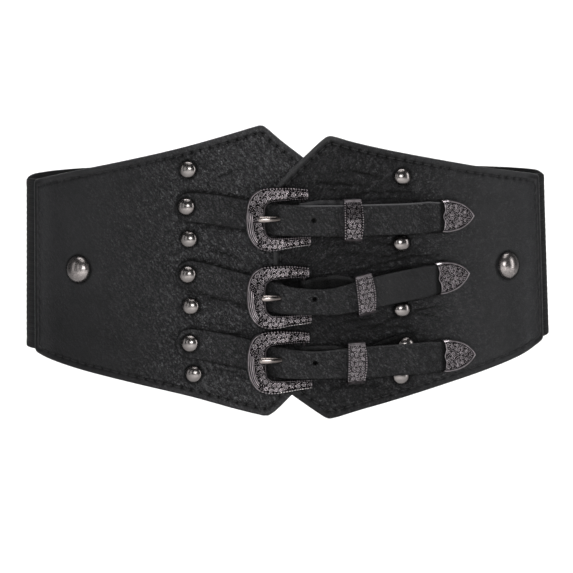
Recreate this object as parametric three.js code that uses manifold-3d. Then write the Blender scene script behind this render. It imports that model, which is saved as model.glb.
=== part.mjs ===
import * as THREE from 'three';
import { mergeVertices } from 'three/addons/utils/BufferGeometryUtils.js';
import ManifoldModule from 'manifold-3d';

const wasm = await ManifoldModule();
wasm.setup();

// Wide waist belt of two overlapping pointed panels, an elastic round the back, and three
// short straps that buckle across the front. Millimetres, +Z up, the front faces -Y.

// The loop that the belt keeps on the waist: an ellipse, a little wider at the lower edge.
const LOOP_HALF_WIDTH = 156.4;
const LOOP_HALF_DEPTH = 74;
const FLARE_DEGREES = 1.2;

// Layer heights, outward from the inner face of the elastic.
const ELASTIC_THICKNESS = 1.4;
const PANEL_THICKNESS = 1.6;
const STRAP_THICKNESS = 1.8;
const CHAPE_THICKNESS = 2.4;
const GAP = 0.3;
const PANEL_UNDER = ELASTIC_THICKNESS + GAP;
const PANEL_TOP = PANEL_UNDER + PANEL_THICKNESS;
const OVERLAP_TOP = PANEL_TOP + GAP + PANEL_THICKNESS;
const ON_PANEL = PANEL_TOP + GAP;

// Strap and hardware sizes.
const STRAP_WIDTH = 18.4;
const CHAPE_WIDTH = 19.2;
const STRAP_BEVEL = 0.7;
const HOLE_DIAMETER = 3.0;
const PRONG_WIDTH = 3.0;
const PRONG_DEPTH = 2.4;
const BAR_RADIUS = 1.15;
const BAR_HEIGHT = 8.0;
const FRAME_UNDER = 7.1;
const FRAME_EDGE = 2.0;
const FRAME_CROWN = 3.2;
const STUD_DIAMETER = 9.8;
const STUD_HEIGHT = 2.8;
const CAP_DIAMETER = 15.4;
const CAP_HEIGHT = 4.6;
const TIP_LENGTH = 21.4;
const TIP_HALF_WIDTH = 9.7;
const TIP_THICKNESS = 4.1;
const KEEPER_LENGTH = 10.2;
const KEEPER_HEIGHT = 22.6;
const KEEPER_WALL = 1.0;

// Colours and finish of each material, read from the photo.
const LEATHER = { color: 0x2c2c2e, roughness: 0.55, metalness: 0 };
const STRAP_LEATHER = { color: 0x303032, roughness: 0.5, metalness: 0 };
const ELASTIC = { color: 0x1c1c1e, roughness: 0.9, metalness: 0 };
const ENGRAVED_METAL = { color: 0x8a8482, roughness: 0.38, metalness: 1 };
const STUD_METAL = { color: 0x9a9590, roughness: 0.22, metalness: 1 };
const PRONG_METAL = { color: 0xb4ada8, roughness: 0.2, metalness: 1 };

// Edges of the elastic: place along the loop, upper edge, lower edge.
const ELASTIC_ROWS = [
  { s: 154, top: 50.0, bottom: -48.4 },
  { s: 186, top: 50.2, bottom: -48.2 },
  { s: 250, top: 50.8, bottom: -50.0 },
  { s: 373, top: 51.6, bottom: -50.6 },
  { s: 500, top: 53.6, bottom: -50.8 },
  { s: 560, top: 52.4, bottom: -51.0 },
  { s: 595, top: 51.8, bottom: -50.4 },
];

// Outline of the viewer's left panel; the right end lies hidden under the other panel.
const LEFT_TOP = [
  { s: -165.6, z: 51.4 },
  { s: -158.6, z: 52.6 },
  { s: -132.1, z: 57.7 },
  { s: -99.1, z: 64.1 },
  { s: -62.1, z: 72.2 },
  { s: -32.3, z: 80.2 },
  { s: -20.5, z: 83.6 },
  { s: -16.6, z: 84.7 },
  { s: -14.4, z: 85.2 },
  { s: -12.4, z: 84.9 },
  { s: -10.6, z: 83.7 },
  { s: -3.0, z: 77.0 },
  { s: 11.0, z: 65.8 },
  { s: 26.5, z: 53.4 },
];
const LEFT_BOTTOM = [
  { s: -165.6, z: -50.4 },
  { s: -160.2, z: -52.4 },
  { s: -132.2, z: -59.0 },
  { s: -94.5, z: -66.6 },
  { s: -58.1, z: -74.4 },
  { s: -28.8, z: -82.4 },
  { s: -17.7, z: -85.2 },
  { s: -14.4, z: -85.9 },
  { s: -12.4, z: -85.9 },
  { s: -10.6, z: -85.1 },
  { s: 2.2, z: -73.5 },
  { s: 26.5, z: -51.8 },
];

// Outline of the right panel, which lies on top at the front.
const RIGHT_TOP = [
  { s: -7.6, z: 46.9 },
  { s: 2.2, z: 57.8 },
  { s: 14.3, z: 69.4 },
  { s: 22.6, z: 76.7 },
  { s: 24.7, z: 78.0 },
  { s: 26.6, z: 78.4 },
  { s: 29.6, z: 77.8 },
  { s: 38.0, z: 75.1 },
  { s: 61.7, z: 69.1 },
  { s: 98.5, z: 61.3 },
  { s: 122.8, z: 56.6 },
  { s: 143.2, z: 53.4 },
  { s: 166.2, z: 50.1 },
];
const RIGHT_BOTTOM = [
  { s: -7.6, z: -66.3 },
  { s: 19.0, z: -86.0 },
  { s: 21.2, z: -87.4 },
  { s: 23.4, z: -88.1 },
  { s: 26.9, z: -87.5 },
  { s: 35.3, z: -85.3 },
  { s: 59.1, z: -79.4 },
  { s: 95.8, z: -69.8 },
  { s: 121.9, z: -63.2 },
  { s: 147.4, z: -56.2 },
  { s: 156.7, z: -52.8 },
  { s: 166.2, z: -49.4 },
];
const OVERLAP_END = 27.5;
const OVERLAP_SETTLED = 33;

// Shallow hollows pressed into the panels: centre, half length, half height, depth.
const LEFT_DENTS = [
  { s: -38, z: 17, along: 26, across: 9, depth: 0.7 },
  { s: -40, z: -28, along: 24, across: 9, depth: 0.7 },
  { s: -92, z: 30, along: 30, across: 14, depth: 0.8 },
];
const RIGHT_DENTS = [
  { s: 84, z: 12, along: 24, across: 8, depth: 0.7 },
  { s: 62, z: -33, along: 22, across: 6, depth: 0.7 },
  { s: 100, z: -30, along: 26, across: 11, depth: 0.8 },
];

// Straps that come from the left: centreline place and height. The lift table is shared.
const BILLETS = [
  {
    name: 'billet_top',
    path: [
      { s: -64.6, z: 37.9 },
      { s: -57.3, z: 37.7 },
      { s: -41.5, z: 36.2 },
      { s: -24.2, z: 33.1 },
      { s: -9.4, z: 30.5 },
      { s: 13.5, z: 29.3 },
      { s: 38.0, z: 28.8 },
      { s: 68.0, z: 28.9 },
      { s: 90.3, z: 29.2 },
      { s: 97.0, z: 29.03 },
    ],
  },
  {
    name: 'billet_middle',
    path: [
      { s: -65.2, z: -2.3 },
      { s: -57.0, z: -2.6 },
      { s: -37.0, z: -7.3 },
      { s: -24.1, z: -10.9 },
      { s: -10.0, z: -15.0 },
      { s: 10.4, z: -16.7 },
      { s: 24.2, z: -17.4 },
      { s: 44.7, z: -14.7 },
      { s: 67.0, z: -10.6 },
      { s: 87.0, z: -7.9 },
      { s: 93.8, z: -7.05 },
    ],
  },
  {
    name: 'billet_bottom',
    path: [
      { s: -65.6, z: -42.6 },
      { s: -58.4, z: -42.8 },
      { s: -37.6, z: -45.7 },
      { s: -24.0, z: -49.0 },
      { s: -10.6, z: -53.2 },
      { s: 13.3, z: -54.5 },
      { s: 39.0, z: -54.9 },
      { s: 67.9, z: -53.8 },
      { s: 89.3, z: -53.5 },
      { s: 96.0, z: -53.4 },
    ],
  },
];
const BILLET_LIFT = [
  { s: -70, n: 3.6 },
  { s: -24, n: 3.6 },
  { s: -17, n: 3.7 },
  { s: -12.4, n: 4.2 },
  { s: -9.4, n: 5.05 },
  { s: -8.0, n: 5.85 },
  { s: -6.4, n: 7.0 },
  { s: -4.8, n: 8.3 },
  { s: -3.0, n: 9.5 },
  { s: 0, n: 10.3 },
  { s: 4, n: 10.75 },
  { s: 10, n: 10.8 },
  { s: 14, n: 10.3 },
  { s: 18, n: 9.3 },
  { s: 23, n: 8.75 },
  { s: 27.5, n: 8.4 },
  { s: 33, n: 7.8 },
  { s: 48, n: 7.75 },
  { s: 56, n: 8.5 },
  { s: 62, n: 9.3 },
  { s: 68, n: 9.45 },
  { s: 75, n: 9.2 },
  { s: 80.5, n: 7.3 },
  { s: 84.5, n: 5.5 },
  { s: 87.3, n: 4.75 },
  { s: 110, n: 4.75 },
];

// Straps that hold the buckles: centreline place and height, and their shared lift.
const CHAPES = [
  {
    name: 'chape_top',
    path: [
      { s: 9.9, z: 30.2 },
      { s: 22, z: 30.8 },
      { s: 32, z: 29.4 },
      { s: 44, z: 29.4 },
      { s: 55, z: 30.4 },
      { s: 76.4, z: 32.4 },
    ],
  },
  {
    name: 'chape_middle',
    path: [
      { s: 9.7, z: -15.5 },
      { s: 24, z: -15.6 },
      { s: 38, z: -15.8 },
      { s: 51, z: -14.0 },
      { s: 58, z: -11.8 },
      { s: 76.2, z: -6.6 },
    ],
  },
  {
    name: 'chape_bottom',
    path: [
      { s: 9.4, z: -53.9 },
      { s: 24, z: -53.9 },
      { s: 33, z: -55.1 },
      { s: 45, z: -54.8 },
      { s: 54, z: -52.0 },
      { s: 76.6, z: -46.0 },
    ],
  },
];
const CHAPE_LIFT = [
  { s: 0, n: 5.6 },
  { s: 27.5, n: 5.6 },
  { s: 33, n: 4.95 },
  { s: 51.5, n: 4.95 },
  { s: 55.5, n: 4.2 },
  { s: 59.5, n: 3.6 },
  { s: 90, n: 3.6 },
];
const CHAPE_LOOP_WALL = 0.95;
const CHAPE_NECK = 7.2;
const LOOP_FOLD_TURNS = 8;

// Buckles: place and height of the bar, and the prong's height.
const BUCKLES = [
  { name: 'top', s: 9.9, z: 30.2, prong: 30.7 },
  { name: 'middle', s: 9.7, z: -15.5, prong: -15.6 },
  { name: 'bottom', s: 9.4, z: -53.9, prong: -53.0 },
];

// C-shaped frame from the end of the upper arm round to the end of the lower arm,
// measured from the bar: outer edge and the inner edge beside it.
const FRAME_ROWS = [
  { outS: 3.2, outZ: 17.7, inS: 3.2, inZ: 11.4 },
  { outS: -2.8, outZ: 18.5, inS: -2.8, inZ: 11.2 },
  { outS: -8.8, outZ: 18.9, inS: -8.8, inZ: 10.8 },
  { outS: -17.6, outZ: 18.8, inS: -14.8, inZ: 10.3 },
  { outS: -24.0, outZ: 18.0, inS: -18.6, inZ: 9.6 },
  { outS: -28.4, outZ: 15.6, inS: -20.8, inZ: 7.8 },
  { outS: -31.2, outZ: 11.4, inS: -21.5, inZ: 5.4 },
  { outS: -32.6, outZ: 5.8, inS: -21.7, inZ: 2.7 },
  { outS: -33.0, outZ: 0.2, inS: -21.8, inZ: 0 },
  { outS: -32.6, outZ: -5.6, inS: -21.7, inZ: -2.7 },
  { outS: -31.0, outZ: -11.2, inS: -21.5, inZ: -5.6 },
  { outS: -27.8, outZ: -15.8, inS: -20.8, inZ: -8.2 },
  { outS: -22.6, outZ: -18.4, inS: -18.6, inZ: -10.1 },
  { outS: -17.0, outZ: -18.8, inS: -14.8, inZ: -10.5 },
  { outS: -8.8, outZ: -17.2, inS: -8.8, inZ: -10.5 },
  { outS: -2.8, outZ: -16.0, inS: -2.8, inZ: -10.5 },
  { outS: 4.2, outZ: -14.8, inS: 4.2, inZ: -10.5 },
];
const FRAME_STATIONS = 28;

// The frame's section from outer edge to inner edge: share across and height above its foot.
const FRAME_SECTION = [
  { share: 0, up: 0.7 },
  { share: 0.05, up: FRAME_EDGE },
  { share: 0.16, up: 2.75 },
  { share: 0.27, up: 2.45 },
  { share: 0.52, up: FRAME_CROWN },
  { share: 0.8, up: 2.4 },
  { share: 0.9, up: 2.6 },
  { share: 1, up: 1.4 },
];
const LEAF_COUNT = 9;
const LEAF_RISE = 0.45;

// Centreline of the prong measured from the bar, from its ring to the resting tip.
const PRONG_PATH = [
  { s: -1.6, n: 8.15, size: 1 },
  { s: -6.6, n: 8.0, size: 1 },
  { s: -10.2, n: 8.25, size: 1 },
  { s: -12.2, n: 8.85, size: 1 },
  { s: -14.2, n: 9.9, size: 1 },
  { s: -16.4, n: 11.0, size: 1 },
  { s: -19, n: 11.65, size: 0.98 },
  { s: -22, n: 11.9, size: 0.95 },
  { s: -25.0, n: 11.85, size: 0.82 },
  { s: -25.9, n: 11.75, size: 0.45 },
];

// Metal loops on the straps: centre and lean in degrees.
const KEEPERS = [
  { name: 'keeper_top', s: 38.0, z: 29.3, lean: 0 },
  { name: 'keeper_middle', s: 44.7, z: -14.9, lean: 8 },
  { name: 'keeper_bottom', s: 39.0, z: -55.0, lean: 2 },
];

// Shield-shaped strap ends: start of the strap side, and direction in degrees.
const TIPS = [
  { name: 'strap_tip_top', s: 90.8, z: 29.2, lean: -1.6 },
  { name: 'strap_tip_middle', s: 87.4, z: -7.9, lean: 7.6 },
  { name: 'strap_tip_bottom', s: 90.0, z: -53.6, lean: 0.2 },
];
const TIP_SIDES = [
  { u: 0, half: 0.985 },
  { u: 0.16, half: 1 },
  { u: 0.34, half: 0.95 },
  { u: 0.52, half: 0.86 },
  { u: 0.7, half: 0.69 },
  { u: 0.84, half: 0.48 },
  { u: 0.93, half: 0.29 },
  { u: 1, half: 0.06 },
];

// Studs: the place, the height and what each one sits on.
const LEFT_STUDS = [
  { s: -57.0, z: 59.6, on: 'panel' },
  { s: -57.9, z: 38.0, on: 'billet' },
  { s: -57.0, z: 18.7, on: 'panel' },
  { s: -57.6, z: -2.0, on: 'billet' },
  { s: -56.4, z: -20.9, on: 'panel' },
  { s: -56.9, z: -42.7, on: 'billet' },
  { s: -55.2, z: -60.9, on: 'panel' },
];
const RIGHT_STUDS = [
  { s: 69.0, z: 53.2, on: 'panel' },
  { s: 68.4, z: 32.0, on: 'chape' },
  { s: 67.8, z: 14.2, on: 'panel' },
  { s: 68.0, z: -7.6, on: 'chape' },
  { s: 67.3, z: -24.8, on: 'panel' },
  { s: 68.9, z: -46.0, on: 'chape' },
  { s: 65.9, z: -64.1, on: 'panel' },
];
const SIDE_CAPS = [
  { name: 'side_cap_left', s: -126.6, z: -0.2 },
  { name: 'side_cap_right', s: 135.7, z: -2.4 },
];

// Loop length measured once, so that places along it are real lengths from the front centre.
const LOOP_STEPS = 7200;
const loopAngles = [];
const loopLengths = [];
let runningLength = 0;
for (let i = 0; i <= LOOP_STEPS; i += 1) {
  const angle = (i / LOOP_STEPS) * Math.PI * 2;
  if (i > 0) {
    const before = loopAngles[i - 1];
    const dx = LOOP_HALF_WIDTH * (Math.sin(angle) - Math.sin(before));
    const dy = LOOP_HALF_DEPTH * (Math.cos(angle) - Math.cos(before));
    runningLength += Math.hypot(dx, dy);
  }
  loopAngles.push(angle);
  loopLengths.push(runningLength);
}
const LOOP_LENGTH = runningLength;
const FLARE = Math.tan(THREE.MathUtils.degToRad(FLARE_DEGREES));

function loopAngle(s) {
  const wanted = ((s % LOOP_LENGTH) + LOOP_LENGTH) % LOOP_LENGTH;
  let low = 0;
  let high = LOOP_STEPS;
  while (high - low > 1) {
    const middle = (low + high) >> 1;
    if (loopLengths[middle] > wanted) {
      high = middle;
    } else {
      low = middle;
    }
  }
  const share = (wanted - loopLengths[low]) / (loopLengths[high] - loopLengths[low]);
  return loopAngles[low] + share * (loopAngles[high] - loopAngles[low]);
}

// A point of the belt from its length along the loop, height and layer height.
function place(s, z, n) {
  const angle = loopAngle(s);
  const nx = Math.sin(angle) / LOOP_HALF_WIDTH;
  const ny = -Math.cos(angle) / LOOP_HALF_DEPTH;
  const size = Math.hypot(nx, ny);
  const out = n - z * FLARE;
  return new THREE.Vector3(
    LOOP_HALF_WIDTH * Math.sin(angle) + (nx / size) * out,
    -LOOP_HALF_DEPTH * Math.cos(angle) + (ny / size) * out,
    z,
  );
}

// Local axes on the belt: along, up and outward, for pieces that stay stiff.
function standAt(s, z, n, lean = 0) {
  const origin = place(s, z, n);
  const along = place(s + 0.5, z, n).sub(place(s - 0.5, z, n)).normalize();
  const up = place(s, z + 0.5, n).sub(place(s, z - 0.5, n)).normalize();
  const out = new THREE.Vector3().crossVectors(along, up).normalize();
  const turn = THREE.MathUtils.degToRad(lean);
  const leanAlong = along.clone().multiplyScalar(Math.cos(turn)).addScaledVector(up, Math.sin(turn));
  const leanUp = new THREE.Vector3().crossVectors(out, leanAlong);
  return new THREE.Matrix4().makeBasis(leanAlong, leanUp, out).setPosition(origin);
}

function lookUp(rows, s, key) {
  if (s <= rows[0].s) {
    return rows[0][key];
  }
  for (let i = 1; i < rows.length; i += 1) {
    if (s <= rows[i].s) {
      const share = (s - rows[i - 1].s) / (rows[i].s - rows[i - 1].s);
      return rows[i - 1][key] + share * (rows[i][key] - rows[i - 1][key]);
    }
  }
  return rows[rows.length - 1][key];
}

// The same look-up with a smooth curve through the rows that never overshoots them.
function smoothUp(rows, s, key) {
  const last = rows.length - 1;
  if (s <= rows[0].s) {
    return rows[0][key];
  }
  if (s >= rows[last].s) {
    return rows[last][key];
  }
  const slopes = [];
  for (let i = 0; i < last; i += 1) {
    slopes.push((rows[i + 1][key] - rows[i][key]) / (rows[i + 1].s - rows[i].s));
  }
  const tangent = (i) => {
    if (i === 0) {
      return slopes[0];
    }
    if (i === last) {
      return slopes[last - 1];
    }
    const product = slopes[i - 1] * slopes[i];
    return product <= 0 ? 0 : (2 * product) / (slopes[i - 1] + slopes[i]);
  };
  let i = 0;
  while (rows[i + 1].s < s) {
    i += 1;
  }
  const h = rows[i + 1].s - rows[i].s;
  const t = (s - rows[i].s) / h;
  const t2 = t * t;
  const t3 = t2 * t;
  return (2 * t3 - 3 * t2 + 1) * rows[i][key] + (t3 - 2 * t2 + t) * h * tangent(i)
    + (3 * t2 - 2 * t3) * rows[i + 1][key] + (t3 - t2) * h * tangent(i + 1);
}

// A closed body through rings of points. An open end is closed with a ladder of quads from
// the outer run to the inner one, or with a fan from the last point of the ring.
function loft(rings, { closed = false, fan = false } = {}) {
  const count = rings[0].length;
  const positions = [];
  for (const ring of rings) {
    for (const point of ring) {
      positions.push(point.x, point.y, point.z);
    }
  }
  const index = [];
  const spans = closed ? rings.length : rings.length - 1;
  for (let r = 0; r < spans; r += 1) {
    const a = r * count;
    const b = ((r + 1) % rings.length) * count;
    for (let k = 0; k < count; k += 1) {
      const next = (k + 1) % count;
      index.push(a + k, b + k, b + next, a + k, b + next, a + next);
    }
  }
  const tail = (rings.length - 1) * count;
  if (!closed && fan) {
    for (let k = 0; k < count - 2; k += 1) {
      index.push(count - 1, k, k + 1);
      index.push(tail + count - 1, tail + k + 1, tail + k);
    }
  }
  if (!closed && !fan) {
    for (let k = 0; k < count / 2 - 1; k += 1) {
      const far = count - 1 - k;
      index.push(k, k + 1, far - 1, k, far - 1, far);
      index.push(tail + k, tail + far - 1, tail + k + 1, tail + k, tail + far, tail + far - 1);
    }
  }
  const geometry = new THREE.BufferGeometry();
  geometry.setAttribute('position', new THREE.Float32BufferAttribute(positions, 3));
  geometry.setIndex(index);
  return facingOut(geometry);
}

function facingOut(geometry) {
  const place3 = geometry.getAttribute('position');
  const index = geometry.getIndex();
  const a = new THREE.Vector3();
  const b = new THREE.Vector3();
  const c = new THREE.Vector3();
  let volume = 0;
  for (let i = 0; i < index.count; i += 3) {
    a.fromBufferAttribute(place3, index.getX(i));
    b.fromBufferAttribute(place3, index.getX(i + 1));
    c.fromBufferAttribute(place3, index.getX(i + 2));
    volume += a.dot(b.cross(c));
  }
  if (volume < 0) {
    for (let i = 0; i < index.count; i += 3) {
      const held = index.getX(i + 1);
      index.setX(i + 1, index.getX(i + 2));
      index.setX(i + 2, held);
    }
  }
  return geometry;
}

function toSolid(geometry) {
  const bare = geometry.clone();
  bare.deleteAttribute('normal');
  bare.deleteAttribute('uv');
  const merged = mergeVertices(bare, 1e-4);
  return new wasm.Manifold(new wasm.Mesh({
    numProp: 3,
    vertProperties: new Float32Array(merged.getAttribute('position').array),
    triVerts: new Uint32Array(merged.getIndex().array),
  }));
}

function fromSolid(solid) {
  const mesh = solid.getMesh();
  const geometry = new THREE.BufferGeometry();
  const points = new Float32Array(mesh.numVert * 3);
  for (let i = 0; i < mesh.numVert; i += 1) {
    for (let k = 0; k < 3; k += 1) {
      points[i * 3 + k] = mesh.vertProperties[i * mesh.numProp + k];
    }
  }
  geometry.setAttribute('position', new THREE.BufferAttribute(points, 3));
  geometry.setIndex(Array.from(mesh.triVerts));
  return geometry;
}

const belt = new THREE.Group();
belt.name = 'elastic_belt';

function add(name, geometry, finish) {
  const material = new THREE.MeshStandardMaterial(finish);
  const flat = geometry.index ? geometry : mergeVertices(geometry);
  flat.computeVertexNormals();
  const mesh = new THREE.Mesh(flat, material);
  mesh.name = name;
  belt.add(mesh);
}

// Places along a piece: all the rows of its tables, filled in to at most one step apart.
function stationsOf(tables, step) {
  const marks = new Set();
  for (const table of tables) {
    for (const row of table) {
      marks.add(row.s);
    }
  }
  const sorted = [...marks].sort((p, q) => p - q);
  const stations = [];
  for (let i = 0; i < sorted.length - 1; i += 1) {
    if (i > 0 && sorted[i] - stations[stations.length - 1] < 0.5) {
      continue;
    }
    const pieces = Math.ceil((sorted[i + 1] - sorted[i]) / step);
    for (let k = 0; k < pieces; k += 1) {
      stations.push(sorted[i] + (k * (sorted[i + 1] - sorted[i])) / pieces);
    }
  }
  stations.push(sorted[sorted.length - 1]);
  return stations;
}

// The elastic runs round the back and ends just under the side edges of the panels.
function elasticBand() {
  const first = ELASTIC_ROWS[0].s;
  const last = ELASTIC_ROWS[ELASTIC_ROWS.length - 1].s;
  const steps = 46;
  const levels = [0, 0.5, 1];
  const rings = [];
  for (let i = 0; i <= steps; i += 1) {
    const s = first + ((last - first) * i) / steps;
    const top = smoothUp(ELASTIC_ROWS, s, 'top');
    const bottom = smoothUp(ELASTIC_ROWS, s, 'bottom');
    const outer = levels.map((t) => place(s, bottom + t * (top - bottom), ELASTIC_THICKNESS));
    const inner = levels.map((t) => place(s, bottom + t * (top - bottom), 0)).reverse();
    rings.push([...outer, ...inner]);
  }
  return loft(rings);
}

function dentDepth(dents, s, z) {
  let depth = 0;
  for (const dent of dents) {
    const along = (s - dent.s) / dent.along;
    const across = (z - dent.z) / dent.across;
    depth += dent.depth * Math.exp(-2 * (along * along + across * across));
  }
  return depth;
}

// A leather panel between an upper and a lower outline.
function panel(topRows, bottomRows, dents, layerAt, ramp = []) {
  const stations = stationsOf([topRows, bottomRows, ramp], 9);
  const levels = 6;
  const rings = [];
  for (const s of stations) {
    const top = lookUp(topRows, s, 'z');
    const bottom = lookUp(bottomRows, s, 'z');
    const outer = [];
    const inner = [];
    for (let k = 0; k <= levels; k += 1) {
      const z = bottom + ((top - bottom) * k) / levels;
      const n = layerAt(s) - dentDepth(dents, s, z);
      outer.push(place(s, z, n));
      inner.unshift(place(s, z, n - PANEL_THICKNESS));
    }
    rings.push([...outer, ...inner]);
  }
  return loft(rings);
}

// A strap along a path: bevelled along both upper edges, round at the left end.
function strapSection(s, z, n, direction, half, thickness) {
  const bevel = Math.min(STRAP_BEVEL, half * 0.4);
  const across = [
    [-half, 0],
    [-half, thickness * 0.72],
    [-half + bevel, thickness],
    [half - bevel, thickness],
    [half, thickness * 0.72],
    [half, 0],
  ];
  return across.map(([v, up]) => place(
    s - v * Math.sin(direction),
    z + v * Math.cos(direction),
    n + up,
  ));
}

function pathDirection(path, s) {
  const reach = 1.5;
  const rise = smoothUp(path, s + reach, 'z') - smoothUp(path, s - reach, 'z');
  const first = path[0].s;
  const last = path[path.length - 1].s;
  const run = Math.min(s + reach, last) - Math.max(s - reach, first);
  return Math.atan2(rise, run);
}

function billet(path) {
  const first = path[0].s;
  const last = path[path.length - 1].s;
  const round = STRAP_WIDTH / 2;
  const rings = [];
  const stations = [];
  for (const degrees of [16, 32, 50, 70, 90]) {
    const angle = THREE.MathUtils.degToRad(degrees);
    stations.push({ s: first + round * (1 - Math.cos(angle)), half: round * Math.sin(angle) });
  }
  for (const row of BILLET_LIFT) {
    if (row.s > first + round + 2 && row.s < last - 8) {
      stations.push({ s: row.s, half: round });
    }
  }
  for (const s of [-46, -35, 40]) {
    stations.push({ s, half: round });
  }
  stations.push({ s: last - 6.5, half: round }, { s: last, half: round });
  stations.sort((p, q) => p.s - q.s);
  for (const station of stations) {
    const z = smoothUp(path, station.s, 'z');
    const n = smoothUp(BILLET_LIFT, station.s, 'n');
    const taper = THREE.MathUtils.smoothstep(station.s, last - 14, last - 7);
    const half = Math.min(station.half, round - 0.7 * taper);
    const direction = pathDirection(path, station.s);
    rings.push(strapSection(station.s, z, n, direction, half, STRAP_THICKNESS));
  }
  return loft(rings);
}

// A straight-sided plug through a strap, rounded at both ends, to cut a hole with.
function holePlug(s, z, fromS, toS, low, high) {
  const radius = HOLE_DIAMETER / 2 + (toS > fromS ? 0.4 : 0);
  const around = 8;
  const points = [];
  for (let i = 0; i < around; i += 1) {
    const angle = ((i + 0.5) / around) * Math.PI * 2;
    const shift = Math.cos(angle) > 0 ? toS : fromS;
    points.push([s + shift + radius * Math.cos(angle), z + radius * Math.sin(angle)]);
  }
  const bottom = points.map(([ps, pz]) => place(ps, pz, low));
  const top = points.map(([ps, pz]) => place(ps, pz, high));
  return toSolid(loft([bottom, top]));
}

// The strap that holds a buckle: folded round the bar, doubled up to its rounded end.
function chape(path, buckle) {
  const inner = BAR_RADIUS + GAP;
  const outer = inner + CHAPE_LOOP_WALL;
  const last = path[path.length - 1].s;
  const neck = buckle.s + CHAPE_NECK;
  const half = CHAPE_WIDTH / 2;
  const stations = [neck, 22, 27.5, 33, 38, 45, 51.5, 55.5, 59.5].map((s) => ({ s, half }));
  for (const degrees of [90, 62, 38, 16]) {
    const angle = THREE.MathUtils.degToRad(degrees);
    stations.push({ s: last - half * (1 - Math.cos(angle)), half: half * Math.sin(angle) });
  }
  const rings = stations.map((station) => {
    const z = smoothUp(path, station.s, 'z');
    const n = lookUp(CHAPE_LIFT, station.s, 'n');
    return [
      place(station.s, z - station.half, n + CHAPE_THICKNESS),
      place(station.s, z + station.half, n + CHAPE_THICKNESS),
      place(station.s, z + station.half, n),
      place(station.s, z - station.half, n),
    ];
  });
  const doubled = toSolid(loft(rings));
  const fold = chapeFold(path, buckle, neck, outer, inner);
  return fromSolid(doubled.add(fold).subtract(slotCutter(buckle.s, buckle.prong, outer)));
}

// The fold round the bar; its foot reaches a little way into the doubled strap.
function chapeFold(path, buckle, neck, outer, inner) {
  const foot = lookUp(CHAPE_LIFT, neck, 'n');
  const profile = new THREE.Shape();
  for (let i = 0; i <= LOOP_FOLD_TURNS; i += 1) {
    const angle = THREE.MathUtils.degToRad(75 + (i / LOOP_FOLD_TURNS) * 195);
    const s = buckle.s + outer * Math.cos(angle);
    const n = BAR_HEIGHT + outer * Math.sin(angle);
    if (i === 0) {
      profile.moveTo(s, n);
    } else {
      profile.lineTo(s, n);
    }
  }
  profile.lineTo(neck + 1.5, foot + 0.06);
  profile.lineTo(neck + 1.5, foot + CHAPE_THICKNESS - 0.12);
  profile.lineTo(neck - 0.2, foot + CHAPE_THICKNESS + 0.06);
  const eye = new THREE.Path();
  eye.absarc(buckle.s, BAR_HEIGHT, inner, 0, Math.PI * 2, true);
  profile.holes.push(eye);
  const body = new THREE.ExtrudeGeometry(profile, {
    depth: 1,
    bevelEnabled: false,
    steps: 1,
    curveSegments: 6,
  });
  const at = body.getAttribute('position');
  const half = CHAPE_WIDTH / 2 - 0.06;
  for (let i = 0; i < at.count; i += 1) {
    const side = at.getZ(i) > 0.5 ? half : -half;
    const point = place(at.getX(i), smoothUp(path, at.getX(i), 'z') + side, at.getY(i));
    at.setXYZ(i, point.x, point.y, point.z);
  }
  body.deleteAttribute('normal');
  body.deleteAttribute('uv');
  return toSolid(facingOut(mergeVertices(body, 1e-4)));
}

// The slot that lets the prong's ring sit on the bar.
function slotCutter(barS, z, outer) {
  const half = PRONG_WIDTH / 2 + 0.35;
  const rings = [];
  for (const s of [barS - outer - 1, barS + outer + 0.6]) {
    rings.push([
      place(s, z - half, BAR_HEIGHT + outer + 1),
      place(s, z + half, BAR_HEIGHT + outer + 1),
      place(s, z + half, BAR_HEIGHT - outer - 1),
      place(s, z - half, BAR_HEIGHT - outer - 1),
    ]);
  }
  return toSolid(loft(rings));
}

// Smooth curve through the frame's rows, then its section raised with a rim and leaves.
function buckleFrame(buckle) {
  const outer = new THREE.CatmullRomCurve3(
    FRAME_ROWS.map((row) => new THREE.Vector3(row.outS, row.outZ, 0)), false, 'centripetal');
  const inner = new THREE.CatmullRomCurve3(
    FRAME_ROWS.map((row) => new THREE.Vector3(row.inS, row.inZ, 0)), false, 'centripetal');
  const rings = [];
  for (let i = 0; i <= FRAME_STATIONS; i += 1) {
    const t = i / FRAME_STATIONS;
    const from = outer.getPoint(t);
    const to = inner.getPoint(t);
    const leaf = Math.abs(Math.sin(t * Math.PI * LEAF_COUNT));
    const ring = [];
    for (const row of FRAME_SECTION) {
      const s = buckle.s + from.x + row.share * (to.x - from.x);
      const z = buckle.z + from.y + row.share * (to.y - from.y);
      const raised = row.up === FRAME_CROWN ? LEAF_RISE * (leaf - 1) : 0;
      ring.push(place(s, z, FRAME_UNDER + row.up + raised));
    }
    ring.push(place(buckle.s + to.x, buckle.z + to.y, FRAME_UNDER));
    ring.push(place(buckle.s + from.x, buckle.z + from.y, FRAME_UNDER));
    rings.push(ring);
  }
  const body = toSolid(loft(rings, { fan: true }));
  const barRings = [];
  for (const z of [-12.4, 0, 13.2]) {
    const ring = [];
    for (let k = 0; k < 10; k += 1) {
      const angle = (k / 10) * Math.PI * 2;
      ring.push(place(
        buckle.s + BAR_RADIUS * Math.cos(angle),
        buckle.z + z,
        BAR_HEIGHT + BAR_RADIUS * Math.sin(angle),
      ));
    }
    barRings.push(ring);
  }
  return fromSolid(body.add(toSolid(loft(barRings))));
}

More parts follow.
